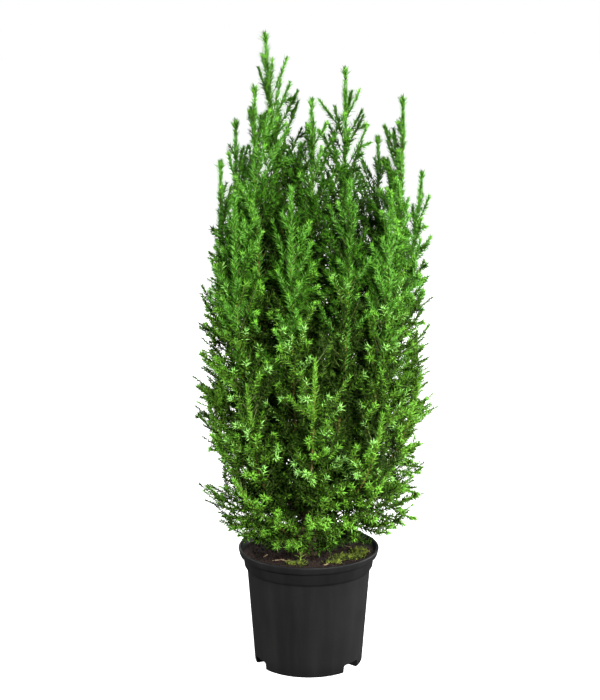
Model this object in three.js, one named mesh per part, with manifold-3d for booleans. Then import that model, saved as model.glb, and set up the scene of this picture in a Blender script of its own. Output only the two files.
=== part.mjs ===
// A false cypress grown as a young column of upright plumes in a nursery pot.
// Millimetres, +Z up. The origin is the middle of the pot's flat underside, and -Y is the front.
import * as THREE from "three";
import { mergeVertices } from "three/addons/utils/BufferGeometryUtils.js";
import Module from "manifold-3d";

const wasm = await Module();
wasm.setup();

// Driving dimensions of the pot
const POT_HEIGHT = 144;
const RIM_RADIUS = 85;
const BASE_RADIUS = 64.3;
const WALL = 1.8;
const BODY_TOP_RADIUS = 73;
const COLLAR_BOTTOM = 117;
const COLLAR_STEP = 2.4;
const COLLAR_TOP_RADIUS = 78.5;
const LIP_HEIGHT = 10;
const LIP_TOP_RADIUS = 81.5;
const FLOOR = 2.5;
const POT_SIDES = 32;

// Three drainage channels under the pot, and the turn of the front foot from straight ahead
const CHANNEL_HEIGHT = 10;
const CHANNEL_WIDTH = 26;
const CHANNEL_INNER_RADIUS = 36;
const CHANNEL_SPREAD = 57;
const FOOT_TURN = -5.5;
const DRAIN_RADIUS = 4;

// Driving dimensions of the soil
const SOIL_BELOW_RIM = 11;
const SOIL_DISH = 2.5;
const TRUNK_FOOT_RADIUS = 20;
const CLEARANCE = 0.3;

// Driving dimensions of the wood
const TRUNK_RADIUS = 8;
const TRUNK_FLARE = 3.5;
const TRUNK_FLARE_HEIGHT = 12;
const TRUNK_LOBES = 5;
const BOUGH_RADIUS = 4;
const SIDE_BOUGH_RADIUS = 2.3;
const STEM_RADIUS = 1.7;
const TIP_RADIUS = 0.7;

// The crown: its middle, its girth at the belly and how it draws in below and above that
const CROWN_MIDDLE_X = 6.5;
const CROWN_RADIUS = 143;
const BELLY_HEIGHT = 190;
const DRAWN_IN_BELOW = 26;
const DRAWN_IN_ABOVE = 17;
const ABOVE_SPAN = 200;
const SPIRE_RADIUS = 22;
const SPIRE_BELOW_TOP = 24;
const LOWEST_FOLIAGE = 8;
const UNDERSIDE_FROM = 54;
const UNDERSIDE_SLOPE = 0.5;

// The main leader carries on from the trunk. Its tip is the plant's top, above the soil.
const TOP = { x: -51, y: 10, height: 625 };
const TRUNK_SHARE = 0.52;

// The other leaders: where each tip stands over the soil, and how high on the trunk its bough leaves. A leader with
// an own share out leans out all the way to its tip, and the others turn upright.
const LEADERS = [
  { name: "front_left", x: -61, y: -45, height: 566, leaves: 90 },
  { name: "left_shoulder", x: -85, y: 15, height: 523, leaves: 112 },
  { name: "left_outer", x: -101, y: -20, height: 479, leaves: 45 },
  { name: "centre", x: 3, y: -25, height: 550, leaves: 76 },
  { name: "second", x: 42, y: 30, height: 584, leaves: 70 },
  { name: "front_right", x: 45, y: -80, height: 464, leaves: 30 },
  { name: "right", x: 107, y: -5, height: 552, leaves: 58 },
  { name: "right_outer", x: 133, y: 25, height: 463, leaves: 34, out: 0.78 },
  { name: "front_left_low", x: -83, y: -75, height: 445, leaves: 25 },
  { name: "front_centre", x: -20, y: -95, height: 457, leaves: 44 },
  { name: "right_front", x: 90, y: -70, height: 427, leaves: 50 },
  { name: "back_left", x: -70, y: 75, height: 467, leaves: 38 },
  { name: "back_middle", x: -10, y: 88, height: 492, leaves: 62 },
  { name: "back_right", x: 82, y: 60, height: 502, leaves: 46 },
];
const LEADER_OUT = 1.08;
const LEADER_RISE = 0.2;
const BOUGH_SHARE = 0.21;

// Side boughs leave the outer leaders low down and fill the belly of the crown.
const SIDE_PARENTS = [
  "left_outer", "front_left_low", "front_centre", "front_right", "right_front",
  "right_outer", "back_right", "back_middle", "back_left", "left_shoulder",
];
const SIDE_LEAVES_AT = 0.1;
const SIDE_FIRST_AZIMUTH = -162;
const SIDE_REACH = 130;
const SIDE_HEIGHT = 235;
const SIDE_HEIGHT_STEP = 34;
const SIDE_SHARE = 0.3;
const SIDE_OUT = 0.84;
const SIDE_RISE = 0.1;

// Skirts: low masses that spread from the trunk over the pot's rim and turn up at their tips
const SKIRTS = 8;
const SKIRT_LEAVES = 14;
const SKIRT_LEAVES_STEP = 6;
const SKIRT_REACH = 122;
const SKIRT_BEND_REACH = 78;
const SKIRT_BEND_HEIGHT = 46;
const SKIRT_TIP_HEIGHT = 84;
const SKIRT_TIP_STEP = 34;

// A spray of needles: a slim shoot with whorls of needles that point forwards
const SPRAY_SIDES = 3;
const NEEDLE_REACH = 8.5;
const SHOOT_RADIUS = 1.5;
const WHORL_SPACING = 23;
const BARE_SHARE = 0.1;

// A frond: a flat spray whose teeth are side shoots
const FROND_THICKNESS = 1.6;
const FROND_HALF_WIDTH = 0.27;
const FROND_LONG = 92;
const FROND_UPTURN = 0.8;

// Sprays leave a stem at the golden angle, slim ones near a plume's tip, and only where they would show.
const GOLDEN_ANGLE = 137.5;
const SPIRE_FROM = 0.84;
const TIP_PART = 0.5;
const SHOWS_FROM = 0.82;
const SHORTEST_SPRAY = 0.42;
const TRIES = 5;

// The dense inside of a mass: points of foliage round the stem, drawn in from the edge of its own space
const CORE_SIDES = 6;
const CORE_PITCH = 32;
const CORE_SHARE = 0.85;
const CORE_NOTCH = 0.57;
const CORE_LIFT = 0.4;
const CORE_MARGIN = 1.5;
const CORE_INSIDE_CROWN = 10;

// How each kind of mass puts out its sprays along its stem
const PLUME = { spacing: 35, length: 92, tipLength: 44, angle: 42, tipAngle: 26, end: 50, core: 34 };
const SIDE = { spacing: 22, length: 86, tipLength: 54, angle: 56, tipAngle: 36, end: 44, core: 42 };
const SKIRT = { spacing: 19, length: 78, tipLength: 52, angle: 58, tipAngle: 42, end: 36, core: 38 };

// Finishes
const materials = {
  pot: new THREE.MeshStandardMaterial({ color: 0x26262a, roughness: 0.45, metalness: 0 }),
  soil: new THREE.MeshStandardMaterial({ color: 0x2a1c14, roughness: 0.95, metalness: 0 }),
  bark: new THREE.MeshStandardMaterial({ color: 0x6b4a2a, roughness: 0.85, metalness: 0 }),
  plume: new THREE.MeshStandardMaterial({ color: 0x4f9a24, roughness: 0.6, metalness: 0 }),
  side: new THREE.MeshStandardMaterial({ color: 0x3b8226, roughness: 0.6, metalness: 0 }),
  skirt: new THREE.MeshStandardMaterial({ color: 0x2f7020, roughness: 0.6, metalness: 0 }),
};

const SOIL_TOP = POT_HEIGHT - SOIL_BELOW_RIM;
const UP = new THREE.Vector3(0, 0, 1);
const radians = THREE.MathUtils.degToRad;
const lerp = THREE.MathUtils.lerp;

// Repeatable random numbers from 0 to 1
function seeded(seed) {
  let state = seed;
  return () => {
    state = (state + 0x6d2b79f5) | 0;
    let mixed = Math.imul(state ^ (state >>> 15), 1 | state);
    mixed = (mixed + Math.imul(mixed ^ (mixed >>> 7), 61 | mixed)) ^ mixed;
    return ((mixed ^ (mixed >>> 14)) >>> 0) / 4294967296;
  };
}

// A closed geometry as a solid that can be joined and cut
function solid(geometry) {
  const bare = new THREE.BufferGeometry();
  bare.setAttribute("position", geometry.getAttribute("position"));
  if (geometry.index) bare.setIndex(geometry.index);
  const merged = mergeVertices(bare, 1e-3);
  const corners = merged.index.array;
  const kept = [];
  for (let i = 0; i < corners.length; i += 3) {
    const [a, b, c] = corners.slice(i, i + 3);
    if (a !== b && b !== c && c !== a) kept.push(a, b, c);
  }
  return new wasm.Manifold(
    new wasm.Mesh({
      numProp: 3,
      vertProperties: merged.getAttribute("position").array,
      triVerts: Uint32Array.from(kept),
    }),
  );
}

// The largest body of a solid, so that loose scraps are dropped and sealed hollows are filled
function largest(made) {
  return made.decompose().reduce((best, body) => (body.volume() > best.volume() ? body : best));
}

// A solid as a named mesh
function meshOf(name, made, material) {
  const { vertProperties, triVerts } = made.getMesh();
  const geometry = new THREE.BufferGeometry();
  geometry.setAttribute("position", new THREE.BufferAttribute(vertProperties, 3));
  geometry.setIndex(new THREE.BufferAttribute(triVerts, 1));
  geometry.computeVertexNormals();
  const mesh = new THREE.Mesh(geometry, material);
  mesh.name = name;
  return mesh;
}

// A closed solid of revolution about Z from points of radius and height that start and end on the axis
function turned(outline, sides) {
  const points = outline.map(([radius, height]) => new THREE.Vector2(radius, height));
  return solid(new THREE.LatheGeometry(points, sides).rotateX(Math.PI / 2));
}

// A box that reaches out along an azimuth, where 0 is straight ahead
function radialBox(azimuth, inner, outer, width, bottom, top) {
  const box = new THREE.BoxGeometry(width, outer - inner, top - bottom);
  box.translate(0, -(inner + outer) / 2, (bottom + top) / 2);
  box.rotateZ(radians(azimuth));
  return solid(box);
}

// The part of a curve between two shares of its length
class Stretch extends THREE.Curve {
  constructor(curve, from, to) {
    super();
    Object.assign(this, { curve, from, to });
  }
  getPoint(t, target = new THREE.Vector3()) {
    return this.curve.getPointAt(THREE.MathUtils.clamp(lerp(this.from, this.to, t), 0, 1), target);
  }
}

// A tapering limb: a cylinder whose rings are set along a curve, each point with its own radius and lift
function limb(curve, radiusAt, sides, rings, liftAt = () => 0) {
  const geometry = new THREE.CylinderGeometry(1, 1, 1, sides, rings);
  const position = geometry.getAttribute("position");
  const chord = curve.getPoint(1).sub(curve.getPoint(0));
  const level = new THREE.Vector3().crossVectors(UP, chord);
  if (level.length() < 1e-3) level.set(0, 1, 0);
  for (let i = 0; i < position.count; i++) {
    const t = position.getY(i) + 0.5;
    const along = curve.getTangentAt(t);
    const across = new THREE.Vector3().crossVectors(along, level).normalize();
    const other = new THREE.Vector3().crossVectors(across, along);
    const turn = Math.atan2(position.getZ(i), position.getX(i));
    const outward = across.multiplyScalar(position.getX(i)).addScaledVector(other, position.getZ(i));
    const point = curve.getPointAt(t);
    point.addScaledVector(outward, radiusAt(t, turn, point, outward));
    point.addScaledVector(along, liftAt(t, turn));
    position.setXYZ(i, point.x, point.y, point.z);
  }
  return solid(geometry);
}

// The pot: a thin moulded shell with a rolled lip, a stepped collar and drainage channels under its floor
function potOutline(inset) {
  const lipBottom = POT_HEIGHT - LIP_HEIGHT;
  const outside = [
    [BASE_RADIUS - 1.5, 0],
    [BASE_RADIUS, 1.5],
    [BODY_TOP_RADIUS, COLLAR_BOTTOM],
    [BODY_TOP_RADIUS + COLLAR_STEP, COLLAR_BOTTOM + 4],
    [COLLAR_TOP_RADIUS, lipBottom],
    [RIM_RADIUS - 2, lipBottom + 0.5],
    [RIM_RADIUS, lipBottom + 3],
    [RIM_RADIUS - 0.4, POT_HEIGHT - 2.5],
    [LIP_TOP_RADIUS + 1, POT_HEIGHT],
  ];
  const inside = [
    [LIP_TOP_RADIUS - 2, POT_HEIGHT - 0.6],
    [COLLAR_TOP_RADIUS - WALL, lipBottom],
    [BODY_TOP_RADIUS + COLLAR_STEP - WALL, COLLAR_BOTTOM + 5],
    [BODY_TOP_RADIUS - WALL, COLLAR_BOTTOM + 1],
    [BASE_RADIUS - WALL, FLOOR],
  ];
  const shrunk = inside.map(([radius, height]) => [radius - inset, height]);
  return { outside, inside: shrunk };
}

function channelAzimuths() {
  return [-CHANNEL_SPREAD, CHANNEL_SPREAD, 180].map((azimuth) => FOOT_TURN + azimuth);
}

// The raised cover of one drainage channel, swollen all round by a margin
function channelCover(azimuth, margin) {
  const width = CHANNEL_WIDTH + 2 * (FLOOR + margin);
  const inner = CHANNEL_INNER_RADIUS - FLOOR - margin;
  return radialBox(azimuth, inner, BASE_RADIUS, width, 0.1, CHANNEL_HEIGHT + FLOOR + margin);
}

function pot() {
  const { outside, inside } = potOutline(0);
  const filled = turned([[0, 0], ...outside, [0, POT_HEIGHT]], POT_SIDES);
  let shell = turned([[0, 0], ...outside, ...inside, [0, FLOOR]], POT_SIDES);
  for (const azimuth of channelAzimuths()) {
    const bottom = -1;
    const groove = radialBox(
      azimuth, CHANNEL_INNER_RADIUS, RIM_RADIUS, CHANNEL_WIDTH, bottom, CHANNEL_HEIGHT,
    );
    const drain = new THREE.CylinderGeometry(DRAIN_RADIUS, DRAIN_RADIUS, 4 * FLOOR, 8);
    drain.rotateX(Math.PI / 2);
    drain.translate(0, -(CHANNEL_INNER_RADIUS + BASE_RADIUS) / 2, CHANNEL_HEIGHT + FLOOR);
    drain.rotateZ(radians(azimuth));
    shell = shell.add(channelCover(azimuth, 0).intersect(filled)).subtract(groove).subtract(solid(drain));
  }
  return largest(shell);
}

// The soil: it fills the pot to just under the rim, dished a little round the trunk's level foot
function soil() {
  const { inside } = potOutline(CLEARANCE);
  const edge = SOIL_TOP + SOIL_DISH;
  const wall = inside.slice(1).reverse();
  wall[0] = [wall[0][0], FLOOR + CLEARANCE];
  const below = wall.filter(([, height]) => height < edge);
  const [lowRadius, lowHeight] = below[below.length - 1];
  const [highRadius, highHeight] = potOutline(CLEARANCE).inside[0];
  const share = (edge - lowHeight) / (highHeight - lowHeight);
  const edgeRadius = lerp(lowRadius, highRadius, share);
  const dish = [
    [edgeRadius, edge],
    [lerp(TRUNK_FOOT_RADIUS, edgeRadius, 0.5), SOIL_TOP + SOIL_DISH / 4],
    [TRUNK_FOOT_RADIUS, SOIL_TOP],
  ];
  let made = turned([[0, FLOOR + CLEARANCE], ...below, ...dish, [0, SOIL_TOP]], POT_SIDES);
  for (const azimuth of channelAzimuths()) {
    made = made.subtract(channelCover(azimuth, CLEARANCE));
  }
  return largest(made);
}

// The line of the main stem, from the soil up through the trunk to the plant's top
const mainLine = new THREE.CubicBezierCurve3(
  new THREE.Vector3(0, 0, 0),
  new THREE.Vector3(0, 0, 140),
  new THREE.Vector3(TOP.x * 0.55, TOP.y, 320),
  new THREE.Vector3(TOP.x, TOP.y, TOP.height),
);
const trunkLine = new Stretch(mainLine, 0, TRUNK_SHARE);

// The trunk tapers, and its lowest stretch flares into shallow root lobes.
function trunkRadius(t, turn) {
  const rise = t * trunkLine.getLength();
  const flare = Math.exp(-rise / TRUNK_FLARE_HEIGHT);
  const lobes = 1 + 0.25 * Math.cos(TRUNK_LOBES * turn);
  return lerp(TRUNK_RADIUS, BOUGH_RADIUS * 0.7, t) + TRUNK_FLARE * flare * lobes;
}

// Where the trunk stands at a height over the soil
function trunkAt(height) {
  let low = 0;
  let high = 1;
  for (let i = 0; i < 40; i++) {
    const middle = (low + high) / 2;
    if (mainLine.getPoint(middle).z < height) low = middle;
    else high = middle;
  }
  return mainLine.getPoint(low);
}

// A line that leaves a point outwards and then turns upright to its tip
function risingLine(from, tip, out, rise) {
  const bend = new THREE.Vector3(tip.x * out, tip.y * out, lerp(from.z, tip.z, rise));
  return new THREE.QuadraticBezierCurve3(from, bend, tip);
}

// A straight taper from one radius to another
function taper(from, to) {
  return (t) => lerp(from, to, t);
}

// How far the crown reaches from its middle at a height over the soil
function crownRadius(height) {
  const away = height - BELLY_HEIGHT;
  const below = DRAWN_IN_BELOW * (away / BELLY_HEIGHT) ** 2;
  const above = DRAWN_IN_ABOVE * (away / ABOVE_SPAN) ** 2;
  return CROWN_RADIUS - (away < 0 ? below : above);
}

// The limbs and the masses, each with its own line, in the plant's frame with the soil at 0
const limbs = [];
const masses = [];

// A limb is cut back from the limb that carries it, and it keeps a room a little larger than it is.
function addLimb(name, line, radiusAt, sides, rings, carrier) {
  const whole = limb(line, radiusAt, sides, rings);
  const made = carrier ? largest(whole.subtract(carrier.room)) : whole;
  const room = limb(line, (t, turn) => radiusAt(t, turn) + CLEARANCE, sides, rings);
  const added = { name, line, radiusAt, made, room, points: line.getSpacedPoints(24) };
  limbs.push(added);
  return added;
}

// A mass's stem starts clear of its bough's tip, on the same line.
function addMass(name, line, from, habit, finish, seed) {
  const start = from + CLEARANCE / line.getLength();
  const stem = new Stretch(line, start, 1 - habit.end / line.getLength());
  const points = new Stretch(line, start, 1).getSpacedPoints(20);
  masses.push({ name, stem, line, habit, finish, seed, points });
}

function growLimbs() {
  const trunk = addLimb("trunk", trunkLine, trunkRadius, 2 * TRUNK_LOBES, 10);
  addMass("plume_top", mainLine, TRUNK_SHARE, PLUME, "plume", 1);
  const carriers = {};
  LEADERS.forEach((leader, i) => {
    const tip = new THREE.Vector3(leader.x, leader.y, leader.height);
    const out = leader.out ?? LEADER_OUT;
    const line = risingLine(trunkAt(leader.leaves), tip, out, LEADER_RISE);
    const bough = new Stretch(line, 0, BOUGH_SHARE);
    const radiusAt = taper(BOUGH_RADIUS, SIDE_BOUGH_RADIUS);
    const carrier = addLimb(`bough_${leader.name}`, bough, radiusAt, 5, 4, trunk);
    carriers[leader.name] = { line, carrier };
    addMass(`plume_${leader.name}`, line, BOUGH_SHARE, PLUME, "plume", 11 + i);
  });
  SIDE_PARENTS.forEach((parent, i) => {
    const { line, carrier } = carriers[parent];
    const from = line.getPointAt(SIDE_LEAVES_AT);
    const azimuth = radians(SIDE_FIRST_AZIMUTH + (360 * i) / SIDE_PARENTS.length);
    const tip = new THREE.Vector3(
      CROWN_MIDDLE_X + SIDE_REACH * Math.cos(azimuth),
      SIDE_REACH * Math.sin(azimuth),
      SIDE_HEIGHT + SIDE_HEIGHT_STEP * ((i % 3) - 1),
    );
    const side = risingLine(from, tip, SIDE_OUT, SIDE_RISE);
    const bough = new Stretch(side, 0, SIDE_SHARE);
    const radiusAt = taper(SIDE_BOUGH_RADIUS, STEM_RADIUS);
    addLimb(`side_bough_${parent}`, bough, radiusAt, 5, 3, carrier);
    addMass(`side_${parent}`, side, SIDE_SHARE, SIDE, "side", 41 + i);
  });
  for (let i = 0; i < SKIRTS; i++) {
    const azimuth = (i * 2 * Math.PI) / SKIRTS - Math.PI / 2;
    const out = new THREE.Vector3(Math.cos(azimuth), Math.sin(azimuth), 0);
    const from = trunkAt(SKIRT_LEAVES + SKIRT_LEAVES_STEP * (i % 3));
    const bend = out.clone().multiplyScalar(SKIRT_BEND_REACH).setZ(SKIRT_BEND_HEIGHT);
    const tip = out.clone().multiplyScalar(SKIRT_REACH);
    tip.z = SKIRT_TIP_HEIGHT + SKIRT_TIP_STEP * (i % 2);
    const line = new THREE.QuadraticBezierCurve3(from, bend, tip);
    addMass(`skirt_${i + 1}`, line, 0, SKIRT, "skirt", 61 + i);
  }
}

// The shortest distance from a point to a line given as points
const nearest = new THREE.Vector3();
const segment = new THREE.Line3();
function distanceTo(point, points) {
  let least = Infinity;
  for (let i = 1; i < points.length; i++) {
    segment.set(points[i - 1], points[i]).closestPointToPoint(point, true, nearest);
    least = Math.min(least, nearest.distanceTo(point));
  }
  return least;
}

// Whether a ball lies in a mass's own space: nearest its own stem, and clear of limbs, soil and rim
function inOwnSpace(mass, point, radius) {
  const outside = Math.max(0, Math.hypot(point.x, point.y) - UNDERSIDE_FROM);
  if (point.z - radius < LOWEST_FOLIAGE + UNDERSIDE_SLOPE * outside) return false;
  const own = distanceTo(point, mass.points);
  const room = 2 * (radius + CLEARANCE);
  if (masses.some((other) => other !== mass && distanceTo(point, other.points) < own + room)) return false;
  return limbs.every((each) => {
    const thick = Math.max(each.radiusAt(0, 0), each.radiusAt(1, 0));
    const gap = distanceTo(point, each.points) - thick;
    return gap > radius + CLEARANCE;
  });
}

// Whether a spray's tip lies inside the crown, or inside the spire of its own plume
function inCrown(mass, to) {
  const top = mass.line.getPoint(1);
  if (mass.finish === "plume" && to.z > top.z - SPIRE_BELOW_TOP) return false;
  const inSpire = mass.finish === "plume" && Math.hypot(to.x - top.x, to.y - top.y) < SPIRE_RADIUS;
  return inSpire || Math.hypot(to.x - CROWN_MIDDLE_X, to.y) < crownRadius(to.z);
}

// Whether a whole spray fits, from just off its stem to its tip
function sprayFits(mass, from, to, reach) {
  const steps = 7;
  for (let i = 1; i <= steps; i++) {
    const point = from.clone().lerp(to, i / steps);
    if (!inOwnSpace(mass, point, i === steps ? 1 : reach)) return false;
  }
  return true;
}

// One spray: a shoot that is turned on its axis, with each whorl of needles flaring forwards
function spray(from, to, reach, roll) {
  const along = to.clone().sub(from);
  const length = along.length();
  const whorls = Math.max(2, Math.round((length * (1 - BARE_SHARE)) / WHORL_SPACING));
  const pitch = (length * (1 - BARE_SHARE)) / (whorls + 0.3);
  const outline = [[0, 0]];
  for (let i = 0; i < whorls; i++) {
    const foot = length * BARE_SHARE + pitch * i;
    const wide = reach * lerp(1, 0.55, i / whorls);
    outline.push([SHOOT_RADIUS * lerp(1, 0.6, i / whorls), foot]);
    outline.push([wide, foot + pitch * 0.95]);
  }
  outline.push([SHOOT_RADIUS * 0.5, length - pitch * 0.5], [0, length]);
  const points = outline.map(([radius, height]) => new THREE.Vector2(radius, height));
  const geometry = new THREE.LatheGeometry(points, SPRAY_SIDES, roll);
  geometry.applyQuaternion(
    new THREE.Quaternion().setFromUnitVectors(new THREE.Vector3(0, 1, 0), along.normalize()),
  );
  geometry.translate(from.x, from.y, from.z);
  return solid(geometry);
}

// The right half of a frond's outline, from its foot up: across and along
function frondSide(length) {
  const teeth = length > FROND_LONG ? 3 : 2;
  const pitch = (length * 0.8) / teeth;
  const side = [[SHOOT_RADIUS, 0]];
  for (let i = 0; i < teeth; i++) {
    const foot = length * BARE_SHARE + pitch * i;
    side.push([length * FROND_HALF_WIDTH * lerp(1, 0.45, i / teeth), foot + pitch * 1.1]);
    if (i < teeth - 1) side.push([SHOOT_RADIUS * 1.6, foot + pitch]);
  }
  return side;
}

// The frame of a frond: its Y runs along it, and its face turns outwards and up
function frondFrame(from, to) {
  const along = to.clone().sub(from).normalize();
  const facing = new THREE.Vector3(from.x - CROWN_MIDDLE_X, from.y, 0).normalize();
  facing.addScaledVector(UP, FROND_UPTURN);
  const across = new THREE.Vector3().crossVectors(along, facing).normalize();
  const normal = new THREE.Vector3().crossVectors(across, along);
  return new THREE.Matrix4().makeBasis(across, along, normal).setPosition(from);
}

// One frond: a flat toothed blade
function frond(from, to) {
  const length = from.distanceTo(to);
  const side = frondSide(length);
  const left = side.map(([across, along]) => [-across, along]).reverse();
  const outline = [...side, [0, length], ...left];
  const points = outline.map(([across, along]) => new THREE.Vector2(across, along));
  const blade = new THREE.ExtrudeGeometry(new THREE.Shape(points), {
    depth: FROND_THICKNESS,
    bevelEnabled: false,
  });
  blade.translate(0, 0, -FROND_THICKNESS / 2);
  return solid(blade.applyMatrix4(frondFrame(from, to)));
}

// Whether a whole frond fits: its middle and the tip of each tooth
function frondFits(mass, from, to) {
  const frame = frondFrame(from, to);
  const length = from.distanceTo(to);
  const middle = [0.35, 0.6, 0.85, 1].map((share) => [0, share * length]);
  const teeth = frondSide(length).slice(1);
  const points = [...middle, ...teeth, ...teeth.map(([across, along]) => [-across, along])];
  return points.every(([across, along]) => {
    const point = new THREE.Vector3(across, along, 0).applyMatrix4(frame);
    return inOwnSpace(mass, point, FROND_THICKNESS);
  });
}

// The direction of a spray that leaves a stem at an angle to it, turned round it by an azimuth
function sprayDirection(along, angle, azimuth) {
  const aside = Math.abs(along.z) > 0.9 ? new THREE.Vector3(1, 0, 0) : UP;
  const side = new THREE.Vector3().crossVectors(along, aside).normalize().applyAxisAngle(along, azimuth);
  return along.clone().multiplyScalar(Math.cos(angle)).addScaledVector(side, Math.sin(angle));
}

// How far a mass may swell from a point of its stem in one direction
function roomAlong(mass, centre, outward, most) {
  let room = 0;
  while (room < most) {
    const point = centre.clone().addScaledVector(outward, room + 2);
    const reach = Math.hypot(point.x - CROWN_MIDDLE_X, point.y);
    if (reach > crownRadius(point.z) - CORE_INSIDE_CROWN) break;
    if (!inOwnSpace(mass, point, CORE_MARGIN)) break;
    room += 2;
  }
  return room;
}

// A mass's stem and the dense inside that swells round it: points and hollows by turns
function core(mass, random) {
  const { habit, stem } = mass;
  const rings = Math.round(stem.getLength() / CORE_PITCH);
  const sideOf = (turn) => Math.round((turn * CORE_SIDES) / (2 * Math.PI) + 100 * CORE_SIDES) % CORE_SIDES;
  const ragged = Array.from({ length: (rings + 1) * CORE_SIDES }, () => lerp(0.75, 1, random()));
  const isPoint = (ring, turn) => ring > 0 && ring < rings && (ring + sideOf(turn)) % 2 === 0;
  const radiusAt = (t, turn, centre, outward) => {
    const ring = Math.round(t * rings);
    const bare = lerp(STEM_RADIUS, TIP_RADIUS, t);
    if (ring === 0 || ring === rings) return bare;
    const most = habit.core * Math.min(1, 0.25 + 2 * (1 - t), 0.45 + 2.6 * t);
    const room = roomAlong(mass, centre, outward, most) * CORE_SHARE;
    const swell = isPoint(ring, turn) ? ragged[ring * CORE_SIDES + sideOf(turn)] : CORE_NOTCH;
    return Math.max(bare, room * swell);
  };
  const liftAt = (t, turn) => (isPoint(Math.round(t * rings), turn) ? CORE_PITCH * CORE_LIFT : 0);
  return limb(stem, radiusAt, CORE_SIDES, rings, liftAt);
}

// Puts a spray on a mass at a share of its stem, shorter or turned on until it fits, or not at all
function placeSpray(mass, share, turn, random) {
  const { habit, stem } = mass;
  const from = stem.getPointAt(share);
  const along = stem.getTangentAt(share);
  const angle = radians(lerp(habit.angle, habit.tipAngle, share));
  const length = lerp(habit.length, habit.tipLength, share) * lerp(0.85, 1.15, random());
  const roll = random() * Math.PI;
  const slim = mass.finish === "plume" && share > SPIRE_FROM;
  for (let shrink = 1.2; shrink > SHORTEST_SPRAY; shrink *= 0.84) {
    for (let i = 0; i < TRIES; i++) {
      const azimuth = turn + radians(GOLDEN_ANGLE) * i;
      const direction = sprayDirection(along, angle, azimuth);
      const to = from.clone().addScaledVector(direction, length * shrink);
      const reach = Math.hypot(to.x - CROWN_MIDDLE_X, to.y);
      const shows = share > TIP_PART || reach > SHOWS_FROM * crownRadius(to.z);
      if (!shows || !inCrown(mass, to)) continue;
      const start = from.clone().addScaledVector(direction, 6);
      if (slim && sprayFits(mass, start, to, NEEDLE_REACH)) {
        return { made: spray(from, to, NEEDLE_REACH, roll), azimuth };
      }
      if (!slim && frondFits(mass, from, to)) return { made: frond(from, to), azimuth };
    }
  }
  return null;
}

// A mass: its stem, sprays along it at the golden angle, and one that carries its tip
function growMass(mass) {
  const { habit, stem, line, seed } = mass;
  const random = seeded(seed);
  const length = stem.getLength();
  const parts = [core(mass, random)];
  const count = Math.floor(length / habit.spacing);
  let turn = random() * 2 * Math.PI;
  for (let i = 0; i < count; i++) {
    const placed = placeSpray(mass, (i + 0.6) / count, turn, random);
    turn = (placed ? placed.azimuth : turn) + radians(GOLDEN_ANGLE);
    if (placed) parts.push(placed.made);
  }
  const root = stem.getPoint(1).addScaledVector(stem.getTangentAt(1), -4);
  const tip = line.getPoint(1);
  let reach = NEEDLE_REACH;
  while (!sprayFits(mass, root, tip, reach) && reach > 2 * SHOOT_RADIUS) reach *= 0.8;
  parts.push(spray(root, tip, reach, random() * Math.PI));
  return largest(limbs.reduce((made, each) => made.subtract(each.room), wasm.Manifold.union(parts)));
}

// The whole thing: the pot and its soil stand on the ground, and the plant stands on the soil.
const whole = new THREE.Group();
whole.name = "potted_false_cypress";
whole.add(meshOf("pot", pot(), materials.pot));
whole.add(meshOf("soil", soil(), materials.soil));

const plant = new THREE.Group();
plant.position.z = SOIL_TOP + CLEARANCE;
whole.add(plant);

growLimbs();
for (const each of limbs) {
  plant.add(meshOf(each.name, each.made, materials.bark));
}
for (const mass of masses) {
  plant.add(meshOf(mass.name, growMass(mass), materials[mass.finish]));
}

export default whole;
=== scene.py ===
import math
from itertools import product

import bpy
import numpy as np
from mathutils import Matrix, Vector, noise


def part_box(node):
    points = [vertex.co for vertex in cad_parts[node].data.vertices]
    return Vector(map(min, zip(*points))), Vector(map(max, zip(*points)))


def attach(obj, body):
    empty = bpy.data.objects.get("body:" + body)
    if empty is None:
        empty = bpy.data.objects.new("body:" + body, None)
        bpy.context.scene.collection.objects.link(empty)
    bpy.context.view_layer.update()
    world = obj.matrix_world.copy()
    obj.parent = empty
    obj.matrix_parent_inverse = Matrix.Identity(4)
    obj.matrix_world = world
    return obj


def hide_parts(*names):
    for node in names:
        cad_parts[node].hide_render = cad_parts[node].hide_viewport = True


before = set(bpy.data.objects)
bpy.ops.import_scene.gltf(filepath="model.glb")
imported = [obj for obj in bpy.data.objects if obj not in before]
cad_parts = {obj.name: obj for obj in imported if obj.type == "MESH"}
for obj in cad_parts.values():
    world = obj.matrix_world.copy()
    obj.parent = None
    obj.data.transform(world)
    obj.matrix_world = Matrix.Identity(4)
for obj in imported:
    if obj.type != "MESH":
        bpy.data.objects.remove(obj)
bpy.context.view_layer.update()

# The pot is a thin shell of black polypropylene, injection moulded in one piece. Its smooth wall tapers to
# the foot, and it has a stepped collar, a rolled lip, and drainage channels moulded up into its floor.
MM = 0.001
POT_SIDES = 144
POT_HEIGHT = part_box("pot")[1].z
RIM_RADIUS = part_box("pot")[1].x
FOOT_RADIUS = 65.6 * MM
FOOT_ROUNDING = 1.5 * MM
WALL_RISE = 114 * MM
WALL_RINGS = (0, 0.12, 0.35, 0.6, 0.85, 0.99)
SHOULDER_RADIUS = 74.4 * MM
SHOULDER_HEIGHT = 117 * MM
COLLAR_RADIUS = 79.4 * MM
LIP_BOTTOM = POT_HEIGHT - 10 * MM
LIP_ROUNDING = 1.6 * MM
POT_WALL = 1.8 * MM
POT_FLOOR = 2.5 * MM
CHANNEL_TOP = 10 * MM
CHANNEL_WIDTH = 26 * MM
CHANNEL_INNER = 36 * MM
CHANNEL_ROUNDING = 3 * MM
COVER_BOTTOM = 1.5 * MM
COVER_ROUNDING = 0.3 * MM
COVER_SET_BACK = 0.6 * MM
CHANNEL_AZIMUTHS = [math.radians(angle) for angle in (-62.5, 51.5, 174.5)]
DRAIN_RADIUS = 4 * MM
POT_CREASE = math.radians(28)
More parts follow.
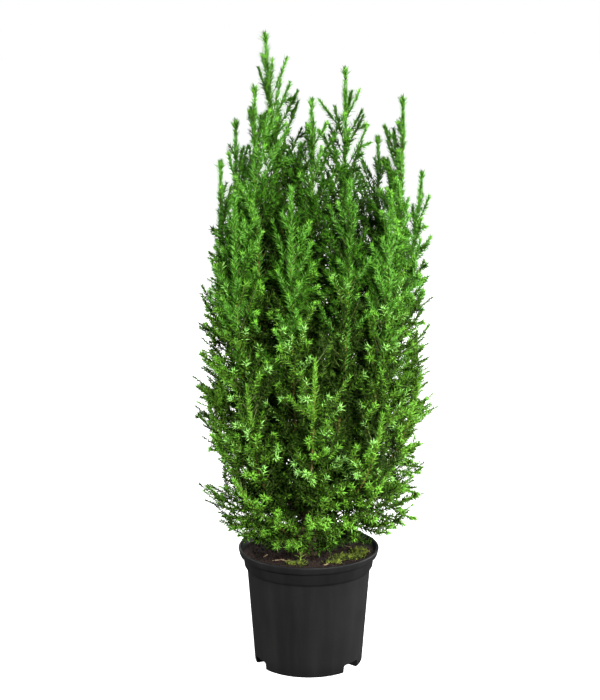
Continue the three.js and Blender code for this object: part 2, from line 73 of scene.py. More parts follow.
POT_COLOURS = [(0.4, (0.006, 0.006, 0.0063)), (0.72, (0.010, 0.0098, 0.0096))]
POT_ROUGHNESS = [(0.3, (0.5, 0.5, 0.5)), (0.75, (0.62, 0.62, 0.62))]


# Leaves edit mode with nothing selected
def deselect():
    if bpy.context.object and bpy.context.object.mode == "EDIT":
        bpy.ops.object.mode_set(mode="OBJECT")
    bpy.ops.object.select_all(action="DESELECT")


# Opens the active piece for editing with all of it selected
def edit_all():
    bpy.ops.object.mode_set(mode="EDIT")
    bpy.ops.mesh.select_all(action="SELECT")


# A solid of revolution, drawn up ring by ring from a round face at its first radius and height
def turned(name, profile, sides):
    deselect()
    (radius, height), *rings = profile
    bpy.ops.mesh.primitive_circle_add(
        vertices=sides, radius=radius, location=(0, 0, height), fill_type="NGON"
    )
    piece = bpy.context.object
    piece.name = name
    bpy.ops.object.transform_apply(location=True, rotation=True, scale=True)
    edit_all()
    for next_radius, next_height in rings:
        lift = (0, 0, next_height - height)
        bpy.ops.mesh.extrude_region_move(TRANSFORM_OT_translate={"value": lift})
        share = next_radius / radius
        bpy.ops.transform.resize(value=(share, share, 1), center_override=(0, 0, next_height))
        radius, height = next_radius, next_height
    bpy.ops.mesh.select_all(action="SELECT")
    bpy.ops.mesh.normals_make_consistent(inside=False)
    bpy.ops.object.mode_set(mode="OBJECT")
    return piece


# A block that reaches out along an azimuth, where 0 is straight ahead
def radial_block(azimuth, inner, outer, width, bottom, top, rounding):
    deselect()
    middle = (inner + outer) / 2
    bpy.ops.mesh.primitive_cube_add(
        size=1,
        location=(middle * math.sin(azimuth), -middle * math.cos(azimuth), (bottom + top) / 2),
        rotation=(0, 0, azimuth),
        scale=(width, outer - inner, top - bottom),
    )
    block = bpy.context.object
    bpy.ops.object.transform_apply(location=True, rotation=True, scale=True)
    edit_all()
    bpy.ops.mesh.bevel(offset=rounding, segments=4, affect="EDGES")
    bpy.ops.object.mode_set(mode="OBJECT")
    return block


# Adds a tool to a piece or cuts it away, by a Boolean that uses the tool up
def joined_with(piece, tool, operation):
    boolean = piece.modifiers.new("boolean", "BOOLEAN")
    boolean.object = tool
    boolean.operation = operation
    boolean.solver = "MANIFOLD"
    bpy.context.view_layer.objects.active = piece
    bpy.ops.object.modifier_apply(modifier=boolean.name)
    bpy.data.objects.remove(tool)


# Points along an arc, from one angle in degrees to another
def arc(centre, radius, start, end, steps):
    turns = [math.radians(start + (end - start) * i / steps) for i in range(steps + 1)]
    return [(centre[0] + radius * math.cos(turn), centre[1] + radius * math.sin(turn)) for turn in turns]


wall_rise = [
    (FOOT_RADIUS + (SHOULDER_RADIUS - FOOT_RADIUS) * share, FOOT_ROUNDING + WALL_RISE * share)
    for share in WALL_RINGS
]
pot_profile = [
    (FOOT_RADIUS - FOOT_ROUNDING, 0),
    (FOOT_RADIUS - 0.5 * MM, 0.4 * MM),
    *wall_rise,
    (SHOULDER_RADIUS + 0.4 * MM, SHOULDER_HEIGHT + 0.4 * MM),
    (SHOULDER_RADIUS + 2.2 * MM, SHOULDER_HEIGHT + 2.6 * MM),
    (SHOULDER_RADIUS + 3.4 * MM, SHOULDER_HEIGHT + 4.6 * MM),
    (COLLAR_RADIUS - 0.3 * MM, LIP_BOTTOM - 2 * MM),
    (COLLAR_RADIUS + 0.4 * MM, LIP_BOTTOM - 0.4 * MM),
    *arc((RIM_RADIUS - 4.2 * MM, LIP_BOTTOM + 2.6 * MM), 2.8 * MM, -80, -12, 5),
    *arc((RIM_RADIUS - LIP_ROUNDING, POT_HEIGHT - LIP_ROUNDING), LIP_ROUNDING, -12, 165, 8),
    (RIM_RADIUS - 5 * MM, LIP_BOTTOM + 2.2 * MM),
    (COLLAR_RADIUS - POT_WALL, LIP_BOTTOM - 0.3 * MM),
    (SHOULDER_RADIUS + 2.4 * MM - POT_WALL, SHOULDER_HEIGHT + 5 * MM),
    (SHOULDER_RADIUS - POT_WALL, SHOULDER_HEIGHT + 1 * MM),
    (FOOT_RADIUS - POT_WALL, POT_FLOOR),
]
pot = turned("pot_shell", pot_profile, POT_SIDES)
for azimuth in CHANNEL_AZIMUTHS:
    cover_width = CHANNEL_WIDTH + 2 * POT_FLOOR
    cover_top = CHANNEL_TOP + POT_FLOOR
    cover_inner = CHANNEL_INNER - POT_FLOOR
    cover = radial_block(
        azimuth, cover_inner, RIM_RADIUS, cover_width, COVER_BOTTOM, cover_top, COVER_ROUNDING
    )
    deselect()
    bpy.ops.mesh.primitive_cylinder_add(
        vertices=POT_SIDES, radius=FOOT_RADIUS - COVER_SET_BACK, depth=4 * cover_top
    )
    joined_with(cover, bpy.context.object, "INTERSECT")
    joined_with(pot, cover, "UNION")
for azimuth in CHANNEL_AZIMUTHS:
    groove = radial_block(
        azimuth, CHANNEL_INNER, RIM_RADIUS, CHANNEL_WIDTH, -CHANNEL_TOP, CHANNEL_TOP, CHANNEL_ROUNDING
    )
    joined_with(pot, groove, "DIFFERENCE")
    deselect()
    reach = (CHANNEL_INNER + FOOT_RADIUS) / 2
    bpy.ops.mesh.primitive_cylinder_add(
        vertices=24,
        radius=DRAIN_RADIUS,
        depth=4 * POT_FLOOR,
        location=(reach * math.sin(azimuth), -reach * math.cos(azimuth), CHANNEL_TOP + POT_FLOOR),
    )
    joined_with(pot, bpy.context.object, "DIFFERENCE")
deselect()
pot.select_set(True)
bpy.context.view_layer.objects.active = pot
bpy.ops.object.shade_smooth_by_angle(angle=POT_CREASE)


# A material with its shader, and helpers that put a noise, a colour band and a bump in it
def new_material(name, roughness, specular=0.5):
    material = bpy.data.materials.new(name)
    material.use_nodes = True
    shader = material.node_tree.nodes["Principled BSDF"]
    shader.inputs["Roughness"].default_value = roughness
    shader.inputs["Specular IOR Level"].default_value = specular
    return material, material.node_tree, shader


def add_noise(tree, scale, detail=4.0, stretch=(1, 1, 1)):
    place = tree.nodes.new("ShaderNodeTexCoord")
    mapping = tree.nodes.new("ShaderNodeMapping")
    mapping.inputs["Scale"].default_value = stretch
    texture = tree.nodes.new("ShaderNodeTexNoise")
    texture.inputs["Scale"].default_value = scale
    texture.inputs["Detail"].default_value = detail
    tree.links.new(place.outputs["Object"], mapping.inputs["Vector"])
    tree.links.new(mapping.outputs["Vector"], texture.inputs["Vector"])
    return texture.outputs["Fac"]


def add_band(tree, factor, stops):
    band = tree.nodes.new("ShaderNodeValToRGB")
    while len(band.color_ramp.elements) < len(stops):
        band.color_ramp.elements.new(0.5)
    for element, (position, colour) in zip(band.color_ramp.elements, stops):
        element.position = position
        element.color = (*colour, 1)
    tree.links.new(factor, band.inputs["Fac"])
    return band.outputs["Color"]


def add_bump(tree, shader, height, strength, distance):
    bump = tree.nodes.new("ShaderNodeBump")
    bump.inputs["Strength"].default_value = strength
    bump.inputs["Distance"].default_value = distance
    tree.links.new(height, bump.inputs["Height"])
    tree.links.new(bump.outputs["Normal"], shader.inputs["Normal"])


plastic, tree, shader = new_material("black_polypropylene", 0.55, 0.15)
streaks = add_noise(tree, 60, 3, (1, 1, 0.08))
tree.links.new(add_band(tree, streaks, POT_COLOURS), shader.inputs["Base Color"])
scuffs = add_noise(tree, 35, 6)
tree.links.new(add_band(tree, scuffs, POT_ROUGHNESS), shader.inputs["Roughness"])
add_bump(tree, shader, add_noise(tree, 1600, 2), 0.12, 0.0003)
pot.data.materials.clear()
pot.data.materials.append(plastic)
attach(pot, "root")
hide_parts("pot")

# The potting soil is dark peat with bark fines. It fills the pot to just under the lip, and it is dished a
# little towards the trunk, lumpy on top, and strewn with crumbs.
SOIL_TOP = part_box("trunk")[0].z
SOIL_RADIUS = 78.8 * MM
SOIL_EDGE = SOIL_TOP + 2.4 * MM
SOIL_RINGS = 34
SOIL_CLEARANCE = 0.3 * MM
SOIL_DIP = 0.6 * MM
SOIL_DISH = 2.2 * MM
LUMP = 2.2 * MM
LUMP_WIDTH = 11 * MM
SMALL_LUMP = 0.6
SMALL_LUMP_WIDTH = 4.5 * MM
CALM_RIM = 4
CALM_MIDDLE = 5
SOIL_CREASE = math.radians(60)
PEAT_COLOURS = [(0.3, (0.008, 0.005, 0.004)), (0.55, (0.022, 0.013, 0.010)), (0.75, (0.055, 0.034, 0.024))]
soil_profile = [
    (FOOT_RADIUS - POT_WALL - SOIL_CLEARANCE, CHANNEL_TOP + POT_FLOOR + 0.5 * MM),
    (SHOULDER_RADIUS - POT_WALL - SOIL_CLEARANCE, SHOULDER_HEIGHT),
    (SHOULDER_RADIUS + 2.1 * MM - POT_WALL, SHOULDER_HEIGHT + 5 * MM),
    (COLLAR_RADIUS - POT_WALL - SOIL_CLEARANCE, LIP_BOTTOM - SOIL_CLEARANCE),
    (SOIL_RADIUS, SOIL_EDGE),
]


# The height of the lumpy soil at a place
def soil_height(x, y):
    share = math.hypot(x, y) / SOIL_RADIUS
    lumps = noise.noise(Vector((x, y, 0)) / LUMP_WIDTH)
    lumps += SMALL_LUMP * noise.noise(Vector((x, y, 1)) / SMALL_LUMP_WIDTH)
    calm = min(1.0, CALM_RIM * (1 - share)) * min(1.0, CALM_MIDDLE * share)
    return SOIL_TOP - SOIL_DIP + SOIL_DISH * share**2 + LUMP * lumps * calm


soil = turned("soil_fill", soil_profile, POT_SIDES)
bpy.ops.object.mode_set(mode="EDIT")
bpy.ops.mesh.select_all(action="DESELECT")
bpy.ops.object.mode_set(mode="OBJECT")
top_face = max(soil.data.polygons, key=lambda face: face.center.z)
top_face.select = True
bpy.ops.object.mode_set(mode="EDIT")
for ring in range(SOIL_RINGS):
    bpy.ops.mesh.inset(thickness=SOIL_RADIUS / (SOIL_RINGS + 1), depth=0)
bpy.ops.object.mode_set(mode="OBJECT")
for vertex in soil.data.vertices:
    x, y, z = vertex.co
    if z > SOIL_EDGE - 0.1 * MM and math.hypot(x, y) < SOIL_RADIUS - 0.5 * MM:
        vertex.co.z = soil_height(x, y)
bpy.ops.object.shade_smooth_by_angle(angle=SOIL_CREASE)

peat, tree, shader = new_material("peat", 0.95, 0.2)
tree.links.new(add_band(tree, add_noise(tree, 260, 6), PEAT_COLOURS), shader.inputs["Base Color"])
add_bump(tree, shader, add_noise(tree, 700, 5), 0.6, 0.0012)
soil.data.materials.append(peat)
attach(soil, "root")
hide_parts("soil")

# Soil crumbs and pale straw lie loose on the peat: bark fines of one to four millimetres, and a few dry
# stalks about a centimetre long. Each straw has its place, length and angle here.
CRUMBS = 900
CRUMB_SIZE = (0.5 * MM, 1.9 * MM)
CRUMB_SHAPE = (0.6, 1.3)
CRUMB_REACH = 74 * MM
CRUMB_PROUD = 0.3
STRAWS = [(-36, -31, 14, 8), (-27, -29, 11, -12), (-52, -12, 9, 60), (20, -44, 8, 35), (48, 22, 12, -50)]
STRAW_RADIUS = 0.55 * MM
STRAW_LIFT = 1 * MM
STRAW_TILT = math.radians(86)
STRAW_BENT = 0.5 * MM
STRAW_COLOURS = [(0.3, (0.16, 0.10, 0.055)), (0.7, (0.42, 0.31, 0.19))]


# A mesh of many small things, from one array of corners and one of triangles
def mesh_of(name, corners, triangles, material):
    mesh = bpy.data.meshes.new(name)
    mesh.vertices.add(len(corners))
    mesh.vertices.foreach_set("co", np.asarray(corners, np.float32).ravel())
    mesh.loops.add(3 * len(triangles))
    mesh.loops.foreach_set("vertex_index", np.asarray(triangles, np.int32).ravel())
    mesh.polygons.add(len(triangles))
    mesh.polygons.foreach_set("loop_start", np.arange(0, 3 * len(triangles), 3, dtype=np.int32))
    mesh.update(calc_edges=True)
    mesh.materials.append(material)
    piece = bpy.data.objects.new(name, mesh)
    bpy.context.scene.collection.objects.link(piece)
    return piece


# Copies of one closed shape: each with its own size along three axes, turn and place
def scattered(shape_corners, shape_triangles, sizes, turns, places):
    corners = shape_corners[None] * sizes[:, None]
    corners = np.einsum("nij,nkj->nki", turns, corners) + places[:, None]
    offsets = len(shape_corners) * np.arange(len(sizes))
    triangles = shape_triangles[None] + offsets[:, None, None]
    return corners.reshape(-1, 3), triangles.reshape(-1, 3)


# Turns at random, one matrix each
def random_turns(random, count):
    made, _ = np.linalg.qr(random.normal(size=(count, 3, 3)))
    made[np.linalg.det(made) < 0, 0] *= -1
    return made


# A material whose base colour is a band of colours over a noise
def mottled(name, roughness, specular, scale, detail, colours):
    material, tree, shader = new_material(name, roughness, specular)
    tree.links.new(add_band(tree, add_noise(tree, scale, detail), colours), shader.inputs["Base Color"])
    return material


# Several objects joined as one piece
def one_piece(name, parts):
    deselect()
    for part in parts:
        part.select_set(True)
    bpy.context.view_layer.objects.active = parts[0]
    bpy.ops.object.join()
    bpy.context.object.name = name
    return bpy.context.object


random = np.random.default_rng(5)
deselect()
bpy.ops.mesh.primitive_ico_sphere_add(subdivisions=1, radius=1)
pebble = bpy.context.object
pebble_corners = np.array([vertex.co for vertex in pebble.data.vertices])
pebble_triangles = np.array([face.vertices for face in pebble.data.polygons])
bpy.data.objects.remove(pebble)
reach = CRUMB_REACH * np.sqrt(random.random(CRUMBS))
around = random.random(CRUMBS) * 2 * np.pi
places = np.stack([reach * np.cos(around), reach * np.sin(around), np.zeros(CRUMBS)], 1)
sizes = random.uniform(*CRUMB_SIZE, (CRUMBS, 1)) * random.uniform(*CRUMB_SHAPE, (CRUMBS, 3))
places[:, 2] = [soil_height(x, y) for x, y in places[:, :2]]
places[:, 2] += CRUMB_PROUD * sizes[:, 2]
crumbs = mesh_of(
    "soil_crumbs",
    *scattered(pebble_corners, pebble_triangles, sizes, random_turns(random, CRUMBS), places),
    peat,
)
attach(crumbs, "root")
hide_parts("soil")

straw_colour = mottled("dry_straw", 0.8, 0.3, 900, 4, STRAW_COLOURS)
straw_parts = []
for x, y, length, angle in STRAWS:
    deselect()
    height = max(soil_height(x * MM, y * MM), SOIL_TOP) + STRAW_LIFT
    bpy.ops.mesh.primitive_cylinder_add(
        vertices=6,
        radius=STRAW_RADIUS,
        depth=length * MM,
        location=(x * MM, y * MM, height),
        rotation=(0, STRAW_TILT, math.radians(angle)),
    )
    straw = bpy.context.object
    edit_all()
    bpy.ops.mesh.subdivide(number_cuts=3)
    bpy.ops.transform.vertex_random(offset=STRAW_BENT, seed=length)
    bpy.ops.object.mode_set(mode="OBJECT")
    straw_parts.append(straw)
straws = one_piece("straw_bits", straw_parts)
bpy.ops.object.transform_apply(location=True, rotation=True, scale=True)
straws.data.materials.append(straw_colour)
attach(straws, "root")
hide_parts("soil")

# Moss grows on the damp soil in low cushions of olive-yellow leafy threads, a few millimetres high. Each
# patch has its place, its size both ways and its number of threads here.
MOSS_PATCHES = [(46, -18, 15, 8, 420), (62, 2, 8, 12, 220), (-13, -42, 12, 7, 300), (30, -36, 9, 5, 120)]
MOSS_LENGTH = (2 * MM, 7 * MM)
MOSS_WIDTH = 0.9 * MM
MOSS_LEAVES = 3
MOSS_LEAN = 0.55
MOSS_ABOVE = 0.4 * MM
MOSS_INSIDE = 2 * MM
MOSS_COLOURS = [(0.4, (0.014, 0.022, 0.003)), (0.5, (0.08, 0.12, 0.01)), (0.64, (0.25, 0.31, 0.03))]
NEEDLE_WIDEST = 0.3
NEEDLE_FOLD = 0.3


# Directions made one long
def unit(directions):
    return directions / np.linalg.norm(directions, axis=-1, keepdims=True)


# Needles, each a slim closed kite of four faces: a foot, a tip and two corners, folded up between them
def needles(feet, directions, facing, lengths, widths):
    across = np.cross(directions, facing)
    across /= np.linalg.norm(across, axis=1, keepdims=True) + 1e-12
    upper = np.cross(across, directions)
    middle = feet + directions * (NEEDLE_WIDEST * lengths)[:, None] + upper * (NEEDLE_FOLD * widths)[:, None]
    half = across * (0.5 * widths)[:, None]
    corners = np.stack([feet, middle - half, middle + half, feet + directions * lengths[:, None]], 1)
    kite = np.array([[0, 2, 1], [1, 2, 3], [0, 1, 3], [0, 3, 2]])
    triangles = kite[None] + 4 * np.arange(len(feet))[:, None, None]
    return corners.reshape(-1, 3), triangles.reshape(-1, 3)


feet = []
for x, y, wide, deep, count in MOSS_PATCHES:
    spot = random.normal(size=(count, 2)) * (0.5 * wide * MM, 0.5 * deep * MM) + (x * MM, y * MM)
    spot = spot[np.hypot(*spot.T) < SOIL_RADIUS - MOSS_INSIDE]
    feet.append(np.array([(px, py, soil_height(px, py) + MOSS_ABOVE) for px, py in spot]))
feet = np.repeat(np.concatenate(feet), MOSS_LEAVES, axis=0)
leaning = unit(random.normal(size=(len(feet), 3)) * MOSS_LEAN + (0, 0, 1))
moss_green = mottled("moss_green", 0.75, 0.3, 230, 3, MOSS_COLOURS)
moss = mesh_of(
    "moss",
    *needles(
        feet,
        leaning,
        random.normal(size=(len(feet), 3)),
        random.uniform(*MOSS_LENGTH, len(feet)),
        np.full(len(feet), MOSS_WIDTH),
    ),
    moss_green,
)
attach(moss, "root")
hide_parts("soil")

# Two seedlings have come up in the soil: soft stems about two centimetres tall, with narrow leaves in
# opposite pairs that stand out and up. Each has its place, its height and its pairs of leaves here.
SEEDLINGS = [(-10, -33, 17, 5), (13, -14, 25, 6)]
SEEDLING_LEAN = 0.12
SEEDLING_RADIUS = (0.8 * MM, 0.4 * MM)
LEAF_LENGTH = (8 * MM, 12 * MM)
LEAF_WIDTH = 2.8 * MM
LEAF_SPREAD = (70, 35)
LEAVES_FROM = 0.35
LEAF_TURN = 0.3
ROD_SIDES = 3
SEEDLING_SUNK = 1 * MM
UPRIGHT = 0.9
SEEDLING_COLOURS = [(0.35, (0.15, 0.30, 0.02)), (0.65, (0.34, 0.50, 0.07))]


# A share of the way from the first of two values to the second
def between(pair, share):
    return pair[0] + (pair[1] - pair[0]) * share


# Two directions that stand square to each given one and to each other
def square_to(along):
    aside = np.where(np.abs(along[..., 2:]) > UPRIGHT, (1.0, 0, 0), (0, 0, 1.0))
    across = unit(np.cross(along, aside))
    return across, np.cross(along, across)


# Slim three-sided rods along given lines, each of which tapers from its foot to its tip
def rods(axes, thick, thin):
    axes = np.asarray(axes)
    count, steps = axes.shape[:2]
    across, other = square_to(unit(np.gradient(axes, axis=1)))
    radius = np.linspace(thick, thin, steps)[None, :, None]
    turns = np.arange(ROD_SIDES) * 2 * np.pi / ROD_SIDES
    rings = [axes + radius * (across * math.cos(turn) + other * math.sin(turn)) for turn in turns]
    corners = np.stack(rings, 2).reshape(-1, 3)
    faces = []
    for step in range(steps - 1):
        for side in range(ROD_SIDES):
            a = step * ROD_SIDES + side
            b = step * ROD_SIDES + (side + 1) % ROD_SIDES
            faces += [(a, b, b + ROD_SIDES), (a, b + ROD_SIDES, a + ROD_SIDES)]
    last = (steps - 1) * ROD_SIDES
    faces += [(2, 1, 0), (last, last + 1, last + 2)]
    offsets = steps * ROD_SIDES * np.arange(count)
    return corners, (np.array(faces)[None] + offsets[:, None, None]).reshape(-1, 3)


# Several arrays of corners and triangles as one
def together(parts):
    corners, triangles, start = [], [], 0
    for part_corners, part_triangles in parts:
        corners.append(part_corners)
        triangles.append(part_triangles + start)
        start += len(part_corners)
    return np.concatenate(corners), np.concatenate(triangles)


seedling_stems = []
leaf_feet = []
leaf_directions = []
for x, y, height, pairs in SEEDLINGS:
    foot = np.array([x * MM, y * MM, soil_height(x * MM, y * MM) - SEEDLING_SUNK])
    lean = np.append(random.normal(size=2) * SEEDLING_LEAN, 1) * height * MM
    stem = foot + lean * np.linspace(0, 1, 5)[:, None]
    seedling_stems.append(stem)
    for number in range(pairs):
        share = LEAVES_FROM + (1 - LEAVES_FROM) * number / (pairs - 1)
        spread = math.radians(between(LEAF_SPREAD, share))
        azimuth = number * math.pi / 2 + random.normal() * LEAF_TURN
        for turn in (azimuth, azimuth + math.pi):
            leaf_feet.append(foot + lean * share)
            around = np.array([math.cos(turn), math.sin(turn), 0])
            leaf_directions.append(around * math.sin(spread) + np.array([0, 0, math.cos(spread)]))
leaves = needles(
    np.array(leaf_feet),
    np.array(leaf_directions),
    np.tile((0, 0, 1.0), (len(leaf_feet), 1)),
    random.uniform(*LEAF_LENGTH, len(leaf_feet)),
    np.full(len(leaf_feet), LEAF_WIDTH),
)
seedling_green = mottled("seedling_green", 0.6, 0.3, 300, 2, SEEDLING_COLOURS)
sprouts = mesh_of(
    "seedlings", *together([rods(seedling_stems, *SEEDLING_RADIUS), leaves]), seedling_green
)
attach(sprouts, "root")
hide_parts("soil")

# The trunk and its boughs are living wood under thin, stringy, brown bark that peels lengthways. The trunk
# stands in the soil on a flared foot, boughs grow out of it, and side boughs out of them. Each leader has
# the place of its tip here, and the height at which its bough leaves the trunk.
TRUNK_RADIUS = 8 * MM
FLARE = 3.5 * MM
FLARE_HEIGHT = 12 * MM
ROOT_LOBES = 5
ROOT_LOBE_DEPTH = 0.25
BOUGH_RADIUS = 4 * MM
SIDE_BOUGH_RADIUS = 2.3 * MM
STEM_RADIUS = 1.7 * MM
TIP_RADIUS = 0.7 * MM
BARK_RIDGES = 9
BARK_RELIEF = 0.055
BARK_TWIST = 3
SEAM_SIDE = (0.02, 1, 0.01)
BARK_WAVER = 2.5
BARK_FOLDS = 4
BARK_FOLD_SHARE = 0.6
BARK_CREASE = math.radians(50)
BARK_COLOURS = [(0.3, (0.018, 0.012, 0.006)), (0.52, (0.05, 0.037, 0.013)), (0.72, (0.125, 0.098, 0.034))]
LINE_STEPS = 500
LINE_POINTS = 160
SHORT_STEP = 0.004
PLANT_TOP = (-51, 10, 625)
TRUNK_UPRIGHT_TO = 140
TRUNK_LEANS_AT = 320
TRUNK_LEAN = 0.55
TRUNK_SHARE = 0.52
TRUNK_END = 0.7
LEADERS = {
    "front_left": (-61, -45, 566, 90),
    "left_shoulder": (-85, 15, 523, 112),
    "left_outer": (-101, -20, 479, 45),
    "centre": (3, -25, 550, 76),
    "second": (42, 30, 584, 70),
    "front_right": (45, -80, 464, 30),
    "right": (107, -5, 552, 58),
    "right_outer": (133, 25, 463, 34),
    "front_left_low": (-83, -75, 445, 25),
    "front_centre": (-20, -95, 457, 44),
    "right_front": (90, -70, 427, 50),
    "back_left": (-70, 75, 467, 38),
    "back_middle": (-10, 88, 492, 62),
    "back_right": (82, 60, 502, 46),
}
LEADER_OUT = 1.08
LEANING_OUT = {"right_outer": 0.78}
LEADER_RISE = 0.2
BOUGH_SHARE = 0.21
SIDE_PARENTS = [
    "left_outer", "front_left_low", "front_centre", "front_right", "right_front",
    "right_outer", "back_right", "back_middle", "back_left", "left_shoulder",
]
SIDE_LEAVES_AT = 0.1
SIDE_FIRST_AZIMUTH = -162
SIDE_REACH = 130 * MM
SIDE_HEIGHT = 235 * MM
SIDE_HEIGHT_STEP = 34 * MM
SIDE_SHARE = 0.3
SIDE_OUT = 0.84
SIDE_RISE = 0.1
CROWN_MIDDLE_X = 7 * MM


# A Bezier line as points that are evenly spaced along it, and places and directions by share of its length
class Line:
    def __init__(self, *controls):
        t = np.linspace(0, 1, LINE_STEPS)[:, None]
        layer = [np.asarray(point, float)[None] for point in controls]
        while len(layer) > 1:
            layer = [a * (1 - t) + b * t for a, b in zip(layer, layer[1:])]
        travelled = np.insert(np.cumsum(np.linalg.norm(np.diff(layer[0], axis=0), axis=1)), 0, 0)
        self.length = travelled[-1]
        even = np.linspace(0, self.length, LINE_POINTS)
        self.points = np.stack([np.interp(even, travelled, layer[0][:, axis]) for axis in range(3)], 1)

    def at(self, share):
        place = np.clip(share, 0, 1) * (len(self.points) - 1)
        steps = np.arange(len(self.points))
        return np.stack([np.interp(place, steps, self.points[:, axis]) for axis in range(3)], -1)

    def along(self, share):
        step = self.at(np.asarray(share) + SHORT_STEP) - self.at(np.asarray(share) - SHORT_STEP)
        return unit(step)


# A place from millimetres across, back and above the soil
def above_soil(x, y, height):
    return np.array([x, y, height]) * MM + (0, 0, SOIL_TOP)


# A line that first goes outwards and then rises to its tip
def rising_line(start, tip, out, rise):
    bend = np.array([tip[0] * out, tip[1] * out, start[2] + (tip[2] - start[2]) * rise])
    return Line(start, bend, tip)


# The middle of the trunk at a height above the soil
def trunk_at(height):
    points = main_line.points
    return np.array([np.interp(SOIL_TOP + height, points[:, 2], points[:, axis]) for axis in range(3)])


# A limb with bark relief: a grid rolled round its line, its seam merged and its ends filled
def limb(line, end_share, radius_at, sides, rings, ripple):
    deselect()
    bpy.ops.mesh.primitive_grid_add(x_subdivisions=sides, y_subdivisions=rings, size=2)
    piece = bpy.context.object
    flat = np.array([vertex.co for vertex in piece.data.vertices])
    turn = np.pi * (flat[:, 0] + 1)
    share = (flat[:, 1] + 1) / 2
    centre = line.at(share * end_share)
    along = line.along(share * end_share)
    across = unit(np.cross(along, SEAM_SIDE))
    other = np.cross(along, across)
    outward = across * np.cos(turn)[:, None] + other * np.sin(turn)[:, None]
    twist = turn + BARK_TWIST * share
    ridges = np.cos(BARK_RIDGES * twist + BARK_WAVER * np.sin(ripple * share))
    ridges += BARK_FOLD_SHARE * np.sin(BARK_FOLDS * twist + ripple * share)
    radius = radius_at(share, turn) * (1 + BARK_RELIEF * ridges)
    places = centre + outward * radius[:, None]
    piece.data.vertices.foreach_set("co", places.astype(np.float32).ravel())
    edit_all()
    bpy.ops.mesh.remove_doubles(threshold=0.01 * MM)
    bpy.ops.mesh.fill_holes(sides=0)
    bpy.ops.mesh.select_all(action="SELECT")
    bpy.ops.mesh.normals_make_consistent(inside=False)
    bpy.ops.object.mode_set(mode="OBJECT")
    bpy.ops.object.shade_smooth_by_angle(angle=BARK_CREASE)
    return piece


# The trunk's radius, with its lobed root flare
def trunk_radius(share, turn):
    rise = share * TRUNK_SHARE * main_line.length
    flare = FLARE * np.exp(-rise / FLARE_HEIGHT) * (1 + ROOT_LOBE_DEPTH * np.cos(ROOT_LOBES * turn))
    return between((TRUNK_RADIUS, TRUNK_END * BOUGH_RADIUS), share) + flare


# A radius that tapers evenly along a limb
def tapering(thick, thin):
    return lambda share, turn: between((thick, thin), share)


top_x, top_y, top_height = PLANT_TOP
main_line = Line(
    above_soil(0, 0, 0),
    above_soil(0, 0, TRUNK_UPRIGHT_TO),
    above_soil(top_x * TRUNK_LEAN, top_y, TRUNK_LEANS_AT),
    above_soil(top_x, top_y, top_height),
)
bark, tree, shader = new_material("stringy_bark", 0.85, 0.3)
fibres = add_noise(tree, 420, 5, (1, 1, 0.12))
tree.links.new(add_band(tree, fibres, BARK_COLOURS), shader.inputs["Base Color"])
add_bump(tree, shader, fibres, 0.7, 0.0008)
trunk = limb(main_line, TRUNK_SHARE, trunk_radius, sides=45, rings=90, ripple=40)
trunk.name = "trunk_wood"
trunk.data.materials.append(bark)
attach(trunk, "root")
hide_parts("trunk")

leader_lines = {}
bough_parts = []
for name, (x, y, height, leaves) in LEADERS.items():
    out = LEANING_OUT.get(name, LEADER_OUT)
    line = rising_line(trunk_at(leaves * MM), above_soil(x, y, height), out, LEADER_RISE)
    leader_lines[name] = line
    thinning = tapering(BOUGH_RADIUS, SIDE_BOUGH_RADIUS)
    bough_parts.append(limb(line, BOUGH_SHARE, thinning, sides=18, rings=24, ripple=25))
side_lines = {}
for i, parent in enumerate(SIDE_PARENTS):
    azimuth = math.radians(SIDE_FIRST_AZIMUTH + 360 * i / len(SIDE_PARENTS))
    side_tip = np.array([
        CROWN_MIDDLE_X + SIDE_REACH * math.cos(azimuth),
        SIDE_REACH * math.sin(azimuth),
        SOIL_TOP + SIDE_HEIGHT + SIDE_HEIGHT_STEP * (i % 3 - 1),
    ])
    line = rising_line(leader_lines[parent].at(SIDE_LEAVES_AT), side_tip, SIDE_OUT, SIDE_RISE)
    side_lines[parent] = line
    thinning = tapering(SIDE_BOUGH_RADIUS, STEM_RADIUS)
    bough_parts.append(limb(line, SIDE_SHARE, thinning, sides=12, rings=16, ripple=18))
boughs = one_piece("bough_wood", bough_parts)
boughs.data.materials.append(bark)
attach(boughs, "root")
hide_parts(*[f"bough_{name}" for name in LEADERS], *[f"side_bough_{name}" for name in SIDE_PARENTS])

# The foliage grows on from the boughs as plumes, side masses and low skirts. Each has one stem, which puts
# out branchlets at the golden angle, and they carry finer shoots, both in their own space in the crown.
# Plumes and side masses have short spurs too, and the edges of the crown thin twigs.
SKIRTS = 8
SKIRT_START = 0.08
SKIRT_LEAVES = 14 * MM
SKIRT_LEAVES_STEP = 6 * MM
SKIRT_REACH = 122 * MM
SKIRT_BEND = (78 * MM, 46 * MM)
SKIRT_TIP_HEIGHT = 84 * MM
SKIRT_TIP_STEP = 34 * MM
CROWN_RADIUS = 139 * MM
RAGGED = (0.74, 1.06)
BELLY_HEIGHT = 190 * MM
DRAWN_IN_BELOW = 36 * MM
DRAWN_IN_ABOVE = 20 * MM
ABOVE_SPAN = 200 * MM
SPIRE_RADIUS = 18 * MM
SPIRE_FLARE = 0.24
SPIRE_HEIGHT = 150 * MM
SPIRE_OUT = 7 * MM
SPIRE_BELOW_TOP = 30 * MM
LOWEST_FOLIAGE = 13 * MM
UNDERSIDE_FROM = 30 * MM
UNDERSIDE_SLOPE = 0.45
UNDERSIDE_HEIGHT = 26 * MM
RISES_FROM = 70 * MM
RISES_BY = 0.4
GOLDEN_ANGLE = math.radians(137.5)
MINGLE = 9 * MM
HOLLOW_WIDTH = 21 * MM
HOLLOW_HEIGHT = 44 * MM
HOLLOW_FROM = 0.14
HOLLOW_OUTSIDE = 0.6
